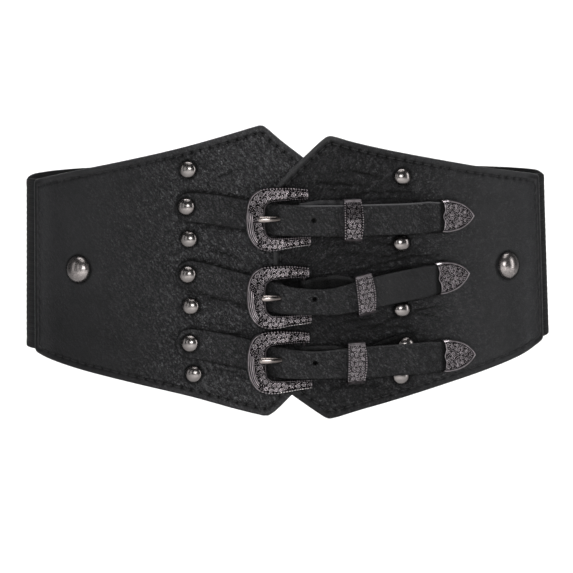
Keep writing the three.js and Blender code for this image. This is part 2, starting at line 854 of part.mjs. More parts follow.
function prong(buckle) {
  const rings = [];
  for (const row of PRONG_PATH) {
    const ring = [];
    for (let k = 0; k < 8; k += 1) {
      const angle = ((k + 0.5) / 8) * Math.PI * 2;
      ring.push(place(
        buckle.s + row.s,
        buckle.prong + row.size * (PRONG_WIDTH / 2) * Math.cos(angle) * 1.05,
        row.n + row.size * (PRONG_DEPTH / 2) * Math.sin(angle) * 1.05,
      ));
    }
    rings.push(ring);
  }
  const shaft = toSolid(loft(rings));
  const eyeRings = [];
  const inner = BAR_RADIUS + GAP;
  const outer = inner + CHAPE_LOOP_WALL;
  const half = PRONG_WIDTH / 2;
  for (let i = 0; i < 12; i += 1) {
    const angle = (i / 12) * Math.PI * 2;
    const rim = [[outer, -half], [outer, half], [inner, half], [inner, -half]];
    eyeRings.push(rim.map(([radius, side]) => place(
      buckle.s + radius * Math.cos(angle),
      buckle.prong + side,
      BAR_HEIGHT + radius * Math.sin(angle),
    )));
  }
  const eye = toSolid(loft(eyeRings, { closed: true }));
  return fromSolid(shaft.add(eye));
}

// A metal loop round both straps, fuller in the middle of its right edge.
function keeper(row) {
  const frame = standAt(row.s, row.z, 0, row.lean);
  const halfHeight = KEEPER_HEIGHT / 2;
  const under = ON_PANEL;
  const over = 10.9;
  const corner = 1.6;
  const outline = [];
  const corners = [
    { v: -halfHeight + corner, n: over - corner, from: 180, to: 90 },
    { v: halfHeight - corner, n: over - corner, from: 90, to: 0 },
    { v: halfHeight - corner, n: under + corner, from: 0, to: -90 },
    { v: -halfHeight + corner, n: under + corner, from: -90, to: -180 },
  ];
  for (const point of corners) {
    for (const share of [0, 0.5, 1]) {
      const angle = THREE.MathUtils.degToRad(point.from + share * (point.to - point.from));
      outline.push({ v: point.v, n: point.n, cos: Math.cos(angle), sin: Math.sin(angle) });
    }
  }
  const middle = { v: 0, n: over - corner, cos: 0, sin: 1 };
  outline.splice(3, 0, middle);
  const rings = outline.map((spot) => {
    const bulge = 1 + 0.16 * (1 - (spot.v / halfHeight) ** 2);
    const halfLeft = KEEPER_LENGTH / 2;
    const halfRight = (KEEPER_LENGTH / 2) * (spot.sin > 0 ? bulge : 1);
    const depths = [
      { u: -halfLeft, out: corner - 0.35 },
      { u: -halfLeft + 1.3, out: corner },
      { u: halfRight - 1.3, out: corner },
      { u: halfRight, out: corner - 0.35 },
      { u: halfRight, out: corner - KEEPER_WALL },
      { u: halfRight - 1.3, out: corner - KEEPER_WALL },
      { u: -halfLeft + 1.3, out: corner - KEEPER_WALL },
      { u: -halfLeft, out: corner - KEEPER_WALL },
    ];
    return depths.map((deep) => new THREE.Vector3(
      deep.u,
      spot.v + deep.out * spot.cos,
      spot.n + deep.out * spot.sin,
    ).applyMatrix4(frame));
  });
  return loft(rings, { closed: true });
}

// Shield-shaped metal end with a pocket for the strap; the strap side has a braced edge.
function strapTip(row) {
  const frame = standAt(row.s, row.z, 0, row.lean);
  const across = [-1, -0.72, -0.4, 0, 0.4, 0.72, 1];
  const scallop = [0, 1.2, 1.9, 0.2, 1.9, 1.2, 0];
  const rings = TIP_SIDES.map((side) => {
    const top = [];
    const foot = [];
    across.forEach((share, k) => {
      const u = scallop[k] * (1 - side.u) + side.u * TIP_LENGTH;
      const v = share * side.half * TIP_HALF_WIDTH;
      const crown = 1 - 0.3 * share * share;
      const rim = Math.abs(share) === 1 ? 0.62 : 1;
      const lower = side.u > 0.9 ? 0.8 : 1;
      top.push(new THREE.Vector3(u, v, ON_PANEL + TIP_THICKNESS * crown * rim * lower));
      foot.unshift(new THREE.Vector3(u, v, ON_PANEL));
    });
    return [...top, ...foot].map((point) => point.applyMatrix4(frame));
  });
  const body = toSolid(loft(rings));
  const low = 4.75 - 0.22;
  const high = 4.75 + STRAP_THICKNESS + 0.22;
  const half = STRAP_WIDTH / 2 - 0.7 + 0.22;
  const pocket = [-3, 7.4].map((u) => [
    new THREE.Vector3(u, -half, high - 0.3),
    new THREE.Vector3(u, -half + 0.8, high),
    new THREE.Vector3(u, half - 0.8, high),
    new THREE.Vector3(u, half, high - 0.3),
    new THREE.Vector3(u, half, low),
    new THREE.Vector3(u, half - 0.8, low),
    new THREE.Vector3(u, -half + 0.8, low),
    new THREE.Vector3(u, -half, low),
  ].map((point) => point.applyMatrix4(frame)));
  return fromSolid(body.subtract(toSolid(loft(pocket))));
}

// A domed stud with a thin flat rim.
function dome(row, base, diameter, height, segments) {
  const radius = diameter / 2;
  const profile = [
    new THREE.Vector2(0, 0),
    new THREE.Vector2(radius, 0),
    new THREE.Vector2(radius, height * 0.13),
    new THREE.Vector2(radius * 0.9, height * 0.2),
    new THREE.Vector2(radius * 0.72, height * 0.62),
    new THREE.Vector2(radius * 0.4, height * 0.92),
    new THREE.Vector2(0, height),
  ];
  const lathe = new THREE.LatheGeometry(profile, segments);
  lathe.rotateX(Math.PI / 2);
  lathe.applyMatrix4(standAt(row.s, row.z, base));
  lathe.deleteAttribute('normal');
  lathe.deleteAttribute('uv');
  return facingOut(withoutSlivers(mergeVertices(lathe, 1e-3)));
}

function withoutSlivers(geometry) {
  const index = geometry.getIndex();
  const kept = [];
  for (let i = 0; i < index.count; i += 3) {
    const a = index.getX(i);
    const b = index.getX(i + 1);
    const c = index.getX(i + 2);
    if (a !== b && b !== c && c !== a) {
      kept.push(a, b, c);
    }
  }
  geometry.setIndex(kept);
  return geometry;
}

add('elastic_band', elasticBand(), ELASTIC);
add('panel_left', panel(LEFT_TOP, LEFT_BOTTOM, LEFT_DENTS, () => PANEL_TOP), LEATHER);
add('panel_right', panel(RIGHT_TOP, RIGHT_BOTTOM, RIGHT_DENTS, (s) => {
  const down = THREE.MathUtils.smoothstep(s, OVERLAP_END, OVERLAP_SETTLED);
  return OVERLAP_TOP + down * (PANEL_TOP - OVERLAP_TOP);
}, [{ s: 28.2 }, { s: 31.4 }, { s: OVERLAP_SETTLED }]), LEATHER);

BILLETS.forEach((row, i) => {
  const buckle = BUCKLES[i];
  const body = toSolid(billet(row.path));
  const used = holePlug(buckle.s - 13.7, buckle.prong, -1.1, 0.9, 3, 14);
  const spareS = buckle.s + 5.9;
  const spare = holePlug(spareS, smoothUp(row.path, spareS, 'z') + 0.4, 0, 0, 8.6, 14);
  add(row.name, fromSolid(body.subtract(used).subtract(spare)), STRAP_LEATHER);
});

CHAPES.forEach((row, i) => {
  add(row.name, chape(row.path, BUCKLES[i]), STRAP_LEATHER);
});

for (const buckle of BUCKLES) {
  add(`buckle_frame_${buckle.name}`, buckleFrame(buckle), ENGRAVED_METAL);
}
for (const buckle of BUCKLES) {
  add(`prong_${buckle.name}`, prong(buckle), PRONG_METAL);
}
for (const row of KEEPERS) {
  add(row.name, keeper(row), ENGRAVED_METAL);
}
for (const row of TIPS) {
  add(row.name, strapTip(row), ENGRAVED_METAL);
}

const STUD_BASE = {
  panel: ON_PANEL,
  billet: ON_PANEL + STRAP_THICKNESS + GAP,
  chape: ON_PANEL + CHAPE_THICKNESS + GAP,
};
LEFT_STUDS.forEach((row, i) => {
  add(`stud_left_${i + 1}`, dome(row, STUD_BASE[row.on], STUD_DIAMETER, STUD_HEIGHT, 10), STUD_METAL);
});
RIGHT_STUDS.forEach((row, i) => {
  add(`stud_right_${i + 1}`, dome(row, STUD_BASE[row.on], STUD_DIAMETER, STUD_HEIGHT, 10), STUD_METAL);
});
for (const row of SIDE_CAPS) {
  add(row.name, dome(row, ON_PANEL, CAP_DIAMETER, CAP_HEIGHT, 14), STUD_METAL);
}

export default belt;
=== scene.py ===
import math

import bpy
import numpy as np
from mathutils import Matrix, Vector


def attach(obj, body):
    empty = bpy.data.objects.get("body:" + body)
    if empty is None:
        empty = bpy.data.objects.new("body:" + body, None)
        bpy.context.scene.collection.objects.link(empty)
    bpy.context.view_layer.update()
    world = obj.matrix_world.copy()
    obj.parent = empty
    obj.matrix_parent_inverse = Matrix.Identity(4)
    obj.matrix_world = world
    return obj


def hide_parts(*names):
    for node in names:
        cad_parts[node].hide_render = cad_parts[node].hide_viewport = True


# Dressed model of a wide waist belt: two overlapping leather panels, an elastic round the
# back, and three short straps with western buckles, loops and strap ends. Tables are in
# millimetres: s along the loop from the front centre, z height, n layer height outward.

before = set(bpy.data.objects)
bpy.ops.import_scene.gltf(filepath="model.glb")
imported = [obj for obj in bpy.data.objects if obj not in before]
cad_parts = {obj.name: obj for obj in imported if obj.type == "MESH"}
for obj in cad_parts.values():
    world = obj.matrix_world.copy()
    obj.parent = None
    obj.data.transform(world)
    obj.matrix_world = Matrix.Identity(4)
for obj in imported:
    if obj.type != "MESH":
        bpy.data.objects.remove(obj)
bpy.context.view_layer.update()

MM = 0.001
LOOP_HALF_WIDTH = 156.4
LOOP_HALF_DEPTH = 74.0
FLARE = math.tan(math.radians(1.2))  # how the loop widens towards its lower edge
ELASTIC_THICKNESS = 1.4
PANEL_THICKNESS = 1.6
STRAP_THICKNESS = 1.8
CHAPE_THICKNESS = 2.4
GAP = 0.3
PANEL_TOP = ELASTIC_THICKNESS + GAP + PANEL_THICKNESS
OVERLAP_TOP = PANEL_TOP + GAP + PANEL_THICKNESS
ON_PANEL = PANEL_TOP + GAP
STRAP_WIDTH = 18.4
CHAPE_WIDTH = 19.2
HOLE_DIAMETER = 3.0
HOLE_LEVEL, HOLE_SLANT = 9.6, 1.75
HOLE_FROM_BAR, SPARE_FROM_BAR, SPARE_RISE = 13.7, 5.9, 0.4
BAR_RADIUS = 1.15
BAR_HEIGHT = 8.0
FRAME_UNDER = 7.1
PRONG_WIDTH = 3.0
PRONG_DEPTH = 2.4
LOOP_WALL = 0.95
STUD_RADIUS, STUD_HEIGHT = 5.1, 3.0
CAP_RADIUS, CAP_HEIGHT = 8.0, 4.4
TIP_LENGTH, TIP_HALF_WIDTH, TIP_THICKNESS = 21.4, 9.7, 4.1
POCKET_FOOT, POCKET_ROOM, POCKET_DEPTH = 4.75, 0.22, 7.4
STRAP_END_NARROWING = 0.7
KEEPER_HEIGHT, KEEPER_WALL, KEEPER_TOP, KEEPER_CORNER = 23.8, 1.0, 10.9, 1.6
KEEPER_BULGE, KEEPER_BOW = 0.3, 1.6
SEAM_INSET = 4.2
STITCH_PITCH = 5.6
RIB_PITCH = 3.4

# Elastic: s, upper edge, lower edge.
ELASTIC_ROWS = np.array([
    (154, 50.0, -48.4), (172, 50.0, -48.3), (179, 49.5, -48.2), (184, 48.6, -48.0),
    (188, 48.4, -48.0), (193, 49.2, -48.4), (203, 50.4, -48.9), (250, 50.8, -50.0),
    (373, 51.6, -50.6), (500, 53.6, -50.8), (543, 52.8, -51.0), (553, 51.9, -51.0),
    (558, 50.9, -50.9), (562, 50.8, -50.8), (567, 51.4, -50.8), (577, 52.0, -50.6),
    (595, 51.8, -50.4)])

# Panel outlines: s, z.
LEFT_TOP = np.array([
    (-163.0, 51.8), (-158.6, 52.6), (-132.1, 57.7), (-99.1, 64.1), (-62.1, 72.2),
    (-32.3, 80.2), (-20.5, 83.6), (-16.6, 84.7), (-14.4, 85.2), (-12.4, 84.9),
    (-10.6, 83.7), (-3.0, 77.0), (11.0, 65.8), (26.5, 53.4)])
LEFT_BOTTOM = np.array([
    (-163.0, -51.3), (-160.2, -52.4), (-132.2, -59.0), (-94.5, -66.6), (-58.1, -74.4),
    (-28.8, -82.4), (-17.7, -85.2), (-14.4, -85.9), (-12.4, -85.9), (-10.6, -85.1),
    (2.2, -73.5), (26.5, -51.8)])
RIGHT_TOP = np.array([
    (-7.6, 46.9), (2.2, 57.8), (14.3, 69.4), (22.6, 76.7), (24.7, 78.0), (26.6, 78.4),
    (29.6, 77.8), (38.0, 75.1), (61.7, 69.1), (98.5, 61.3), (122.8, 56.6),
    (143.2, 53.4), (166.2, 50.1)])
RIGHT_BOTTOM = np.array([
    (-7.6, -66.3), (19.0, -86.0), (21.2, -87.4), (23.4, -88.1), (26.9, -87.5),
    (35.3, -85.3), (59.1, -79.4), (95.8, -69.8), (121.9, -63.2), (147.4, -56.2),
    (156.7, -52.8), (166.2, -49.4)])
OVERLAP_END, OVERLAP_SETTLED = 27.5, 46.0

# Shallow hollows in the panels: s, z, half length, half height, depth.
LEFT_DENTS = [(-38, 17, 26, 9, 0.7), (-40, -28, 24, 9, 0.7), (-92, 30, 30, 14, 0.8)]
RIGHT_DENTS = [(84, 12, 24, 8, 0.7), (62, -33, 22, 6, 0.7), (100, -30, 26, 11, 0.8)]

# Creases in the panels: from s, z, to s, z, depth, half width.
LEFT_CREASES = [
    (-52, 25, -22, 21.5, 0.35, 0.8), (-50, 12, -24, 5, 0.35, 0.8), (-49, -16, -22, -24, 0.3, 0.8),
    (-48, -31, -24, -38, 0.35, 0.9), (-47, 50, -20, 62, 0.25, 1.2), (-70, 66, -40, 58, 0.2, 1.4),
    (-46, -57, -20, -66, 0.3, 1.0), (-66, 24, -96, 16, 0.05, 1.5), (-70, -14, -100, -28, 0.05, 1.6),
    (-52.5, -50, -43, -68, 0.36, 0.7), (-49.5, -49, -40, -66, 0.36, 0.6),
    (-46.5, -48, -37, -63, 0.34, 0.7), (-70, -38, -60, -54, 0.2, 0.8)]
RIGHT_CREASES = [
    (14, 50, 52, 47, 0.35, 1.0), (24, 58, 60, 52, 0.3, 1.2), (46, 15, 76, 9, 0.35, 0.9),
    (22, 8, 62, 6, 0.35, 0.8), (56, 3, 92, 6, 0.45, 0.9), (60, 9, 100, 0, 0.3, 1.0),
    (20, -34, 60, -30, 0.35, 0.8), (52, -33, 92, -24, 0.45, 0.9), (34, -37, 80, -36, 0.3, 0.9),
    (24, -70, 60, -72, 0.3, 1.0), (72, 44, 110, 36, 0.06, 1.4), (90, -60, 120, -48, 0.06, 1.5),
    (50, 4, 78, 8.5, 0.4, 0.7), (76, 8.5, 94, 4, 0.4, 0.7), (44, -1.5, 70, 4.5, 0.4, 0.8),
    (12, 51, 40, 49, 0.35, 0.7), (14, 46.5, 44, 45, 0.35, 0.7), (34, 43.5, 76, 43.5, 0.4, 0.8),
    (48, -36, 78, -28, 0.4, 0.7), (28, -38.5, 62, -33, 0.4, 0.7), (70, -28, 92, -32, 0.35, 0.7)]

# Painted highlights in light strokes on the left panel: from s, z, to s, z.
STROKES = [(-54, -49, -40, -70), (-51, -48, -36, -68), (-47.5, -47, -34, -64), (-57, -52, -46, -72),
           (-44, -45, -30, -60), (-60, -50, -50, -68)]

# Straps from the left: centreline s, z, and the lift s, n that they share.
BILLETS = {
    "top": np.array([(-64.6, 37.9), (-57.3, 37.7), (-41.5, 36.2), (-24.2, 33.1), (-9.4, 30.5),
                     (13.5, 29.3), (38.0, 28.8), (68.0, 28.9), (90.3, 29.2), (97.0, 29.03)]),
    "middle": np.array([(-65.2, -2.3), (-57.0, -2.6), (-37.0, -7.3), (-24.1, -10.9),
                        (-10.0, -15.0), (10.4, -16.7), (24.2, -17.4), (44.7, -14.7),
                        (67.0, -10.6), (87.0, -7.9), (93.8, -7.05)]),
    "bottom": np.array([(-65.6, -42.6), (-58.4, -42.8), (-37.6, -45.7), (-24.0, -49.0),
                        (-10.6, -53.2), (13.3, -54.5), (39.0, -54.9), (67.9, -53.8),
                        (89.3, -53.5), (96.0, -53.4)]),
}
BILLET_LIFT = np.array([
    (-70, 3.6), (-24, 3.6), (-17, 3.7), (-12.4, 4.2), (-9.4, 5.05), (-8.0, 5.85), (-6.4, 7.0),
    (-4.8, 8.3), (-3.0, 9.5), (0, 10.3), (4, 10.75), (10, 10.8), (14, 10.3), (18, 9.3),
    (23, 8.75), (27.5, 8.4), (33, 7.8), (48, 7.75), (56, 8.5), (62, 9.3), (68, 9.45), (75, 9.2),
    (80.5, 7.3), (84.5, 5.5), (87.3, 4.75), (110, 4.75)])

# Straps that hold the buckles: centreline s, z, and the lift s, n that they share.
CHAPES = {
    "top": np.array([(9.9, 30.2), (22, 31.4), (32, 30.9), (38, 30.4), (46, 30.0), (55, 30.4),
                     (76.4, 32.4)]),
    "middle": np.array([(9.7, -15.3), (14, -14.2), (20, -13.2), (28, -12.6), (34, -13.4),
                        (39.7, -15.1), (44, -14.5), (49, -13.5), (58, -11.8), (76.2, -6.6)]),
    "bottom": np.array([(9.4, -53.9), (24, -53.9), (33, -55.1), (45, -54.8), (54, -52.0),
                        (76.6, -46.0)]),
}
CHAPE_LIFT = np.array([(0, 5.6), (27.5, 5.6), (33, 4.95), (51.5, 4.95), (55.5, 4.2),
                       (59.5, 3.6), (90, 3.6)])
CHAPE_NECK = 7.2

# How strong the painted highlight on each billet's upper edge is, and how far its grain dies away towards
# the end.
BILLET_EDGE_HIGHLIGHT = {"top": 0.8, "middle": 0.1, "bottom": 0.16}
SMOOTH_END = {"top": 0.15, "middle": 0.75, "bottom": 0.1}
# How far a billet's upper edge sags between the buckle and the keeper, and over what length.
BILLET_SAG = {"top": (0.0, 20.0), "middle": (3.0, 25.0), "bottom": (2.0, 17.0)}
# How much darker a billet is right of the buckle.
STRAP_SHADE = {"top": 0.12, "middle": 0.2, "bottom": 0.1}

# Buckles: bar s, bar z, prong z.
BUCKLES = {"top": (9.9, 30.2, 30.7), "middle": (9.7, -15.5, -15.6), "bottom": (9.4, -53.9, -52.2)}

# Frame measured from the bar: outer s, outer z, inner s, inner z.
FRAME_ROWS = np.array([
    (3.2, 17.7, 3.2, 11.4), (-2.8, 18.5, -2.8, 11.2), (-8.8, 18.9, -8.8, 10.8),
    (-17.6, 18.8, -14.8, 10.3), (-24.0, 18.0, -18.6, 9.6), (-28.4, 15.6, -20.8, 7.8),
    (-31.2, 11.4, -21.5, 5.4), (-32.6, 5.8, -21.7, 2.7), (-33.0, 0.2, -21.8, 0),
    (-32.6, -5.6, -21.7, -2.7), (-31.0, -11.2, -21.5, -5.6), (-27.8, -15.8, -20.8, -8.2),
    (-22.6, -18.4, -18.6, -10.1), (-17.0, -18.8, -14.8, -10.5), (-8.8, -17.5, -8.8, -10.4),
    (-2.8, -16.6, -2.8, -10.2), (4.2, -15.6, 4.2, -10.2)])

# Frame section from outer to inner edge: share across, height above its foot.
FRAME_SECTION = np.array([
    (0, 1.2), (0.05, 2.0), (0.13, 2.75), (0.24, 2.3), (0.52, 3.0), (0.8, 2.3), (0.9, 2.6),
    (1, 1.4)])

# Prong from its ring to its tip, from the bar: s, n, size.
PRONG_PATH = np.array([
    (-1.6, 8.15, 1), (-6.6, 8.0, 1), (-10.2, 8.25, 1.05), (-12.2, 9.0, 1.1), (-14.2, 10.1, 1.12),
    (-16.4, 11.2, 1.14), (-19, 11.8, 1.2), (-22, 12.0, 1.27), (-24.8, 11.9, 1.27),
    (-25.9, 11.75, 1.1)])

# How far each prong's tip reaches past its climb.
PRONG_REACH = {"top": 1.0, "middle": 0.84, "bottom": 1.0}

# Metal loops: s, z, lean in degrees, length, how far the lower side hangs, slope of the ends.
KEEPERS = {"top": (38.0, 29.3, 0, 10.1, 1.3, 0), "middle": (44.4, -15.3, 5, 9.8, 0, 0.14),
           "bottom": (38.7, -55.0, -1.5, 10.0, 0.6, 0.07)}
# Strap ends: s, z, lean in degrees; then half width by length, and the mouth by width.
TIPS = {"top": (90.8, 29.2, -1.6), "middle": (87.4, -7.9, 7.6), "bottom": (90.0, -53.6, 0.2)}
TIP_SIDES = np.array([(0, 0.985), (0.16, 1), (0.34, 0.95), (0.52, 0.86), (0.7, 0.69),
                      (0.84, 0.48), (0.93, 0.29), (1, 0.06)])
TIP_BRACE = np.array([(-1, 1.0), (-0.72, 2.1), (-0.4, 2.4), (0, 1.4), (0.4, 2.4), (0.72, 2.1),
                      (1, 1.0)])

# Domes: s, z, layer height of the foot; the large ones s, z, width by height.
ON_BILLET = ON_PANEL + STRAP_THICKNESS
ON_CHAPE = ON_PANEL + CHAPE_THICKNESS
LEFT_STUDS = [(-57.0, 59.6, ON_PANEL), (-57.9, 38.0, ON_BILLET), (-57.0, 18.7, ON_PANEL),
              (-57.6, -2.0, ON_BILLET), (-56.4, -20.9, ON_PANEL), (-56.9, -42.7, ON_BILLET),
              (-55.2, -60.9, ON_PANEL)]
RIGHT_STUDS = [(69.0, 53.2, ON_PANEL), (68.4, 32.0, ON_CHAPE), (67.8, 14.2, ON_PANEL),
               (68.0, -7.6, ON_CHAPE), (67.3, -24.8, ON_PANEL), (68.9, -46.0, ON_CHAPE),
               (65.9, -64.1, ON_PANEL)]
SIDE_CAPS = {"left": (-126.6, -0.2, 0.97), "right": (136.1, -2.4, 0.9)}
STUD_SPOTS = [(s, z, STUD_RADIUS) for s, z, foot in LEFT_STUDS + RIGHT_STUDS if foot == ON_PANEL]
STUD_SPOTS += [(s, z, CAP_RADIUS) for s, z, _ in SIDE_CAPS.values()]


# Places on the loop


def run_along(points):
    """Length along a line of points, from its first."""
    return np.concatenate([[0], np.cumsum(np.hypot(*np.diff(points, axis=0).T))])


def turns(count):
    """The angles of one turn in equal steps."""
    return np.linspace(0, 2 * np.pi, count + 1)[:-1]


LOOP_STEPS = 7200
LOOP_ANGLES = np.linspace(0, 2 * np.pi, LOOP_STEPS + 1)
LOOP_LENGTHS = run_along(np.stack([LOOP_HALF_WIDTH * np.sin(LOOP_ANGLES),
                                   LOOP_HALF_DEPTH * np.cos(LOOP_ANGLES)], 1))


def place(s, z, n):
    """Points in metres from length along the loop, height and layer height in millimetres."""
    s, z, n = np.broadcast_arrays(np.asarray(s, float), z, n)
    angle = np.interp(np.mod(s, LOOP_LENGTHS[-1]), LOOP_LENGTHS, LOOP_ANGLES)
    nx, ny = np.sin(angle) / LOOP_HALF_WIDTH, -np.cos(angle) / LOOP_HALF_DEPTH
    out = (n - z * FLARE) / np.hypot(nx, ny)
    return MM * np.stack([LOOP_HALF_WIDTH * np.sin(angle) + nx * out,
                          -LOOP_HALF_DEPTH * np.cos(angle) + ny * out, z + 0 * out], -1)


def unit(v):
    """A vector's direction."""
    return v / np.linalg.norm(v)


def stand_at(s, z, n, lean=0.0, step=0.5):
    """Origin and axes (along, up, out) for a stiff piece on the belt."""
    along = unit(place(s + step, z, n) - place(s - step, z, n))
    up = unit(place(s, z + step, n) - place(s, z - step, n))
    out = unit(np.cross(along, up))
    turn = math.radians(lean)
    leaned = math.cos(turn) * along + math.sin(turn) * up
    return place(s, z, n), np.stack([leaned, np.cross(out, leaned), out])


def stood(points, stand):
    """Local millimetre points (along, up, out) set on the belt, in metres."""
    origin, axes = stand
    return origin + MM * points @ axes


# Curves and falls


def smooth_up(table, x, column=1):
    """Monotone cubic through a table's rows, level beyond both ends."""
    xs, ys = table[:, 0], table[:, column]
    x = np.clip(x, xs[0], xs[-1])
    slopes = np.diff(ys) / np.diff(xs)
    before, after = slopes[:-1], slopes[1:]
    product = before * after
    inside = np.where(product > 0, 2 * product / np.where(product > 0, before + after, 1), 0)
    tangents = np.concatenate([[slopes[0]], inside, [slopes[-1]]])
    i = np.clip(np.searchsorted(xs, x, side="left") - 1, 0, len(xs) - 2)
    h = xs[i + 1] - xs[i]
    t = (x - xs[i]) / h
    return ((2 * t**3 - 3 * t**2 + 1) * ys[i] + (t**3 - 2 * t**2 + t) * h * tangents[i]
            + (3 * t**2 - 2 * t**3) * ys[i + 1] + (t**3 - t**2) * h * tangents[i + 1])


def smoothstep(x, low, high):
    """0 below low, 1 above high, and a soft rise between."""
    t = np.clip((x - low) / (high - low), 0, 1)
    return t * t * (3 - 2 * t)


def until(x, low, high):
    """1 below low, 0 above high."""
    return 1 - smoothstep(x, low, high)


def ripple(x, y, seed, cells=64):
    """Smooth gradient noise, about -0.7 to 0.7, the same on every run."""
    x, y = np.broadcast_arrays(x, y)
    angles = np.random.default_rng(seed).uniform(0, 2 * np.pi, (cells, cells))
    ix, iy = np.floor(x).astype(int), np.floor(y).astype(int)
    fx, fy = x - ix, y - iy
    ux, uy = fx * fx * (3 - 2 * fx), fy * fy * (3 - 2 * fy)

    def corner(dx, dy):
        a = angles[(ix + dx) % cells, (iy + dy) % cells]
        return np.cos(a) * (fx - dx) + np.sin(a) * (fy - dy)

    low = corner(0, 0) * (1 - ux) + corner(1, 0) * ux
    high = corner(0, 1) * (1 - ux) + corner(1, 1) * ux
    return low * (1 - uy) + high * uy


def bell(d, width):
    """1 at distance 0, falling away on both sides."""
    return np.exp(-((d / width) ** 2))


def drop(d, radius, depth):
    """How far a rounded edge falls at distance d from it."""
    t = np.clip(1 - d / radius, 0, 1)
    return depth * (1 - np.sqrt(1 - t * t))


def circle_half(reach, radius):
    """Half the width of a circle at a distance from its centre, 0 beyond it."""
    return np.sqrt(np.clip(radius**2 - reach**2, 0, None))


# Meshes


def loft(rings, closed=False, cap="ladder"):
    """A shell through rings of points: quads, and ladder or fan ends. Returns points, faces."""
    rings = np.asarray(rings)
    r, c = rings.shape[:2]
    index = np.arange(r * c).reshape(r, c)
    run = np.vstack([index, index[:1]]) if closed else index
    a, b = run[:-1], run[1:]
    faces = [np.stack([a, b, np.roll(b, -1, 1), np.roll(a, -1, 1)], -1).reshape(-1, 4)]
    points = rings.reshape(-1, 3)
    ends = () if closed else ((index[0], False), (index[-1], True))
    for ring, flip in ends:
        if cap == "ladder":
            k = np.arange(c // 2 - 1)
            end = np.stack([ring[k], ring[k + 1], ring[c - 2 - k], ring[c - 1 - k]], 1)
        else:
            end = np.stack([ring, np.roll(ring, -1), np.full(c, len(points))], 1)
            points = np.vstack([points, points[ring].mean(0)])
        faces.append(end[:, ::-1] if flip else end)
    if volume_of(points, faces) < 0:
        faces = [part[:, ::-1] for part in faces]
    return points, faces


def volume_of(points, faces):
    """Six times the volume inside the faces, negative where they look inward."""
    total = 0.0
    for part in faces:
        a = points[part[:, 0]]
        for k in range(1, part.shape[1] - 1):
            total += (a * np.cross(points[part[:, k]], points[part[:, k + 1]])).sum()
    return total


def doubled(outer, inner):
    """Rows of an outer face, and those of the inner face on the way back."""
    return np.concatenate([outer, inner[:, ::-1]], 1)


def wall(s, z, outer, inner):
    """The shell between two layer heights."""
    return loft(doubled(place(s, z, outer), place(s, z, inner)))


def joined(shells):
    """Several shells as one."""
    points, faces, start = [], [], 0
    for p, f in shells:
        points.append(p)
        faces += [part + start for part in f]
        start += len(p)
    return np.vstack(points), faces


def add_mesh(name, points, faces):
    """A smooth-shaded object in the scene."""
    mesh = bpy.data.meshes.new(name)
    mesh.from_pydata(points.tolist(), [], [face for part in faces for face in part.tolist()])
    mesh.update()
    mesh.polygons.foreach_set("use_smooth", np.ones(len(mesh.polygons), bool))
    made = bpy.data.objects.new(name, mesh)
    bpy.context.scene.collection.objects.link(made)
    return made


def make(name, shell, material, nodes=(), values=None):
    """One piece on the body, with its finish, and the CAD nodes that it stands for."""
    piece = add_mesh(name, *shell)
    for key, value in (values or {}).items():
        layer = piece.data.attributes.new(key, "FLOAT", "POINT")
        layer.data.foreach_set("value", np.asarray(value, np.float32).ravel())
    piece.data.materials.append(material)
    if nodes:
        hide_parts(*nodes)
    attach(piece, "root")
    return piece


def cut(piece, shell):
    """Takes a solid away from a piece."""
    cutter = add_mesh("cutter", *shell)
    modifier = piece.modifiers.new("cut", "BOOLEAN")
    modifier.operation, modifier.solver, modifier.object = "DIFFERENCE", "EXACT", cutter
    bpy.context.view_layer.update()
    result = piece.evaluated_get(bpy.context.evaluated_depsgraph_get())
    made = bpy.data.meshes.new_from_object(result)
    piece.modifiers.clear()
    piece.data = made
    bpy.data.objects.remove(cutter)
    made.polygons.foreach_set("use_smooth", np.ones(len(made.polygons), bool))


def edge_marks(length, step, edge):
    """Places from 0 to length: close together at both ends, then at most a step apart."""
    edge = np.asarray(edge)
    rest = length - 2 * edge[-1]
    inner = np.linspace(edge[-1], length - edge[-1], max(2, int(math.ceil(rest / step)) + 1))
    return np.concatenate([edge[:-1], inner, length - edge[:-1][::-1]])


# Panels

PANEL_SHADE, SEAM_SHADE = 0.36, 0.3
PANEL_EDGE = np.array([0, 0.08, 0.25, 0.5, 0.85, 1.3, 1.9, 2.6, 3.2, 3.7, 4.2, 4.7, 5.3, 6.1, 7.0])
PANEL_STEP, PANEL_ROWS = 0.74, 100
APEX_REACH, APEX_STEP, LEAST_STEP = 7, 0.95, 0.07
CORNER_ROUND = 2.4
PIT_REACH = 2.4
PULL_CENTRE = (4.0, -10.0)
PULL_TURN, PULL_FLATTEN, PULL_EASE = 52.0, 0.9, 6.0
GRAIN_FALL = math.radians(52)
END_FROM, END_FULL = 152, 157
LINE_CHUNKS = 12
CREASE_DEPTH, CREASE_ARCH, CREASE_WANDER, CREASE_SEED = 1.5, 1.6, 1.1, 77
SWELL_AWAY, SWELL_WIDTH, SWELL_ABOVE, SWELL_BELOW = 1.9, 1.1, 0.55, 0.3
RUB_WIDTH, RUB_WANDER, RUB_SEED = 0.75, 0.9, 7
LOOP_HALF_LENGTH, LOOP_HALF_HEIGHT, LOOP_SLOPE = 6.5, 12, 0.4
# Waves of the outer face, drawn with the leather: height, length along, length across.
DRAWN_WAVES = [(0.3, 15, 3.6), (0.17, 6, 1.9)]
# Beside the outline: a swell and the seam's groove. Height, distance, half width.
EDGE_SWELL, SEAM_GROOVE = (0.2, 2.1, 1.2), (-0.34, SEAM_INSET, 0.8)
PIT_WIDTH, PIT_DEPTH = 1.35, 0.62
STUD_DISH, STUD_DISH_REACH = 0.28, 2.2


def outline_z(table, s, sign):
    """Outline height, with the corners at both ends rounded off."""
    z = smooth_up(table, s)
    for end in (table[0, 0], table[-1, 0]):
        z = z - sign * drop(np.abs(s - end), CORNER_ROUND, CORNER_ROUND)
    return z


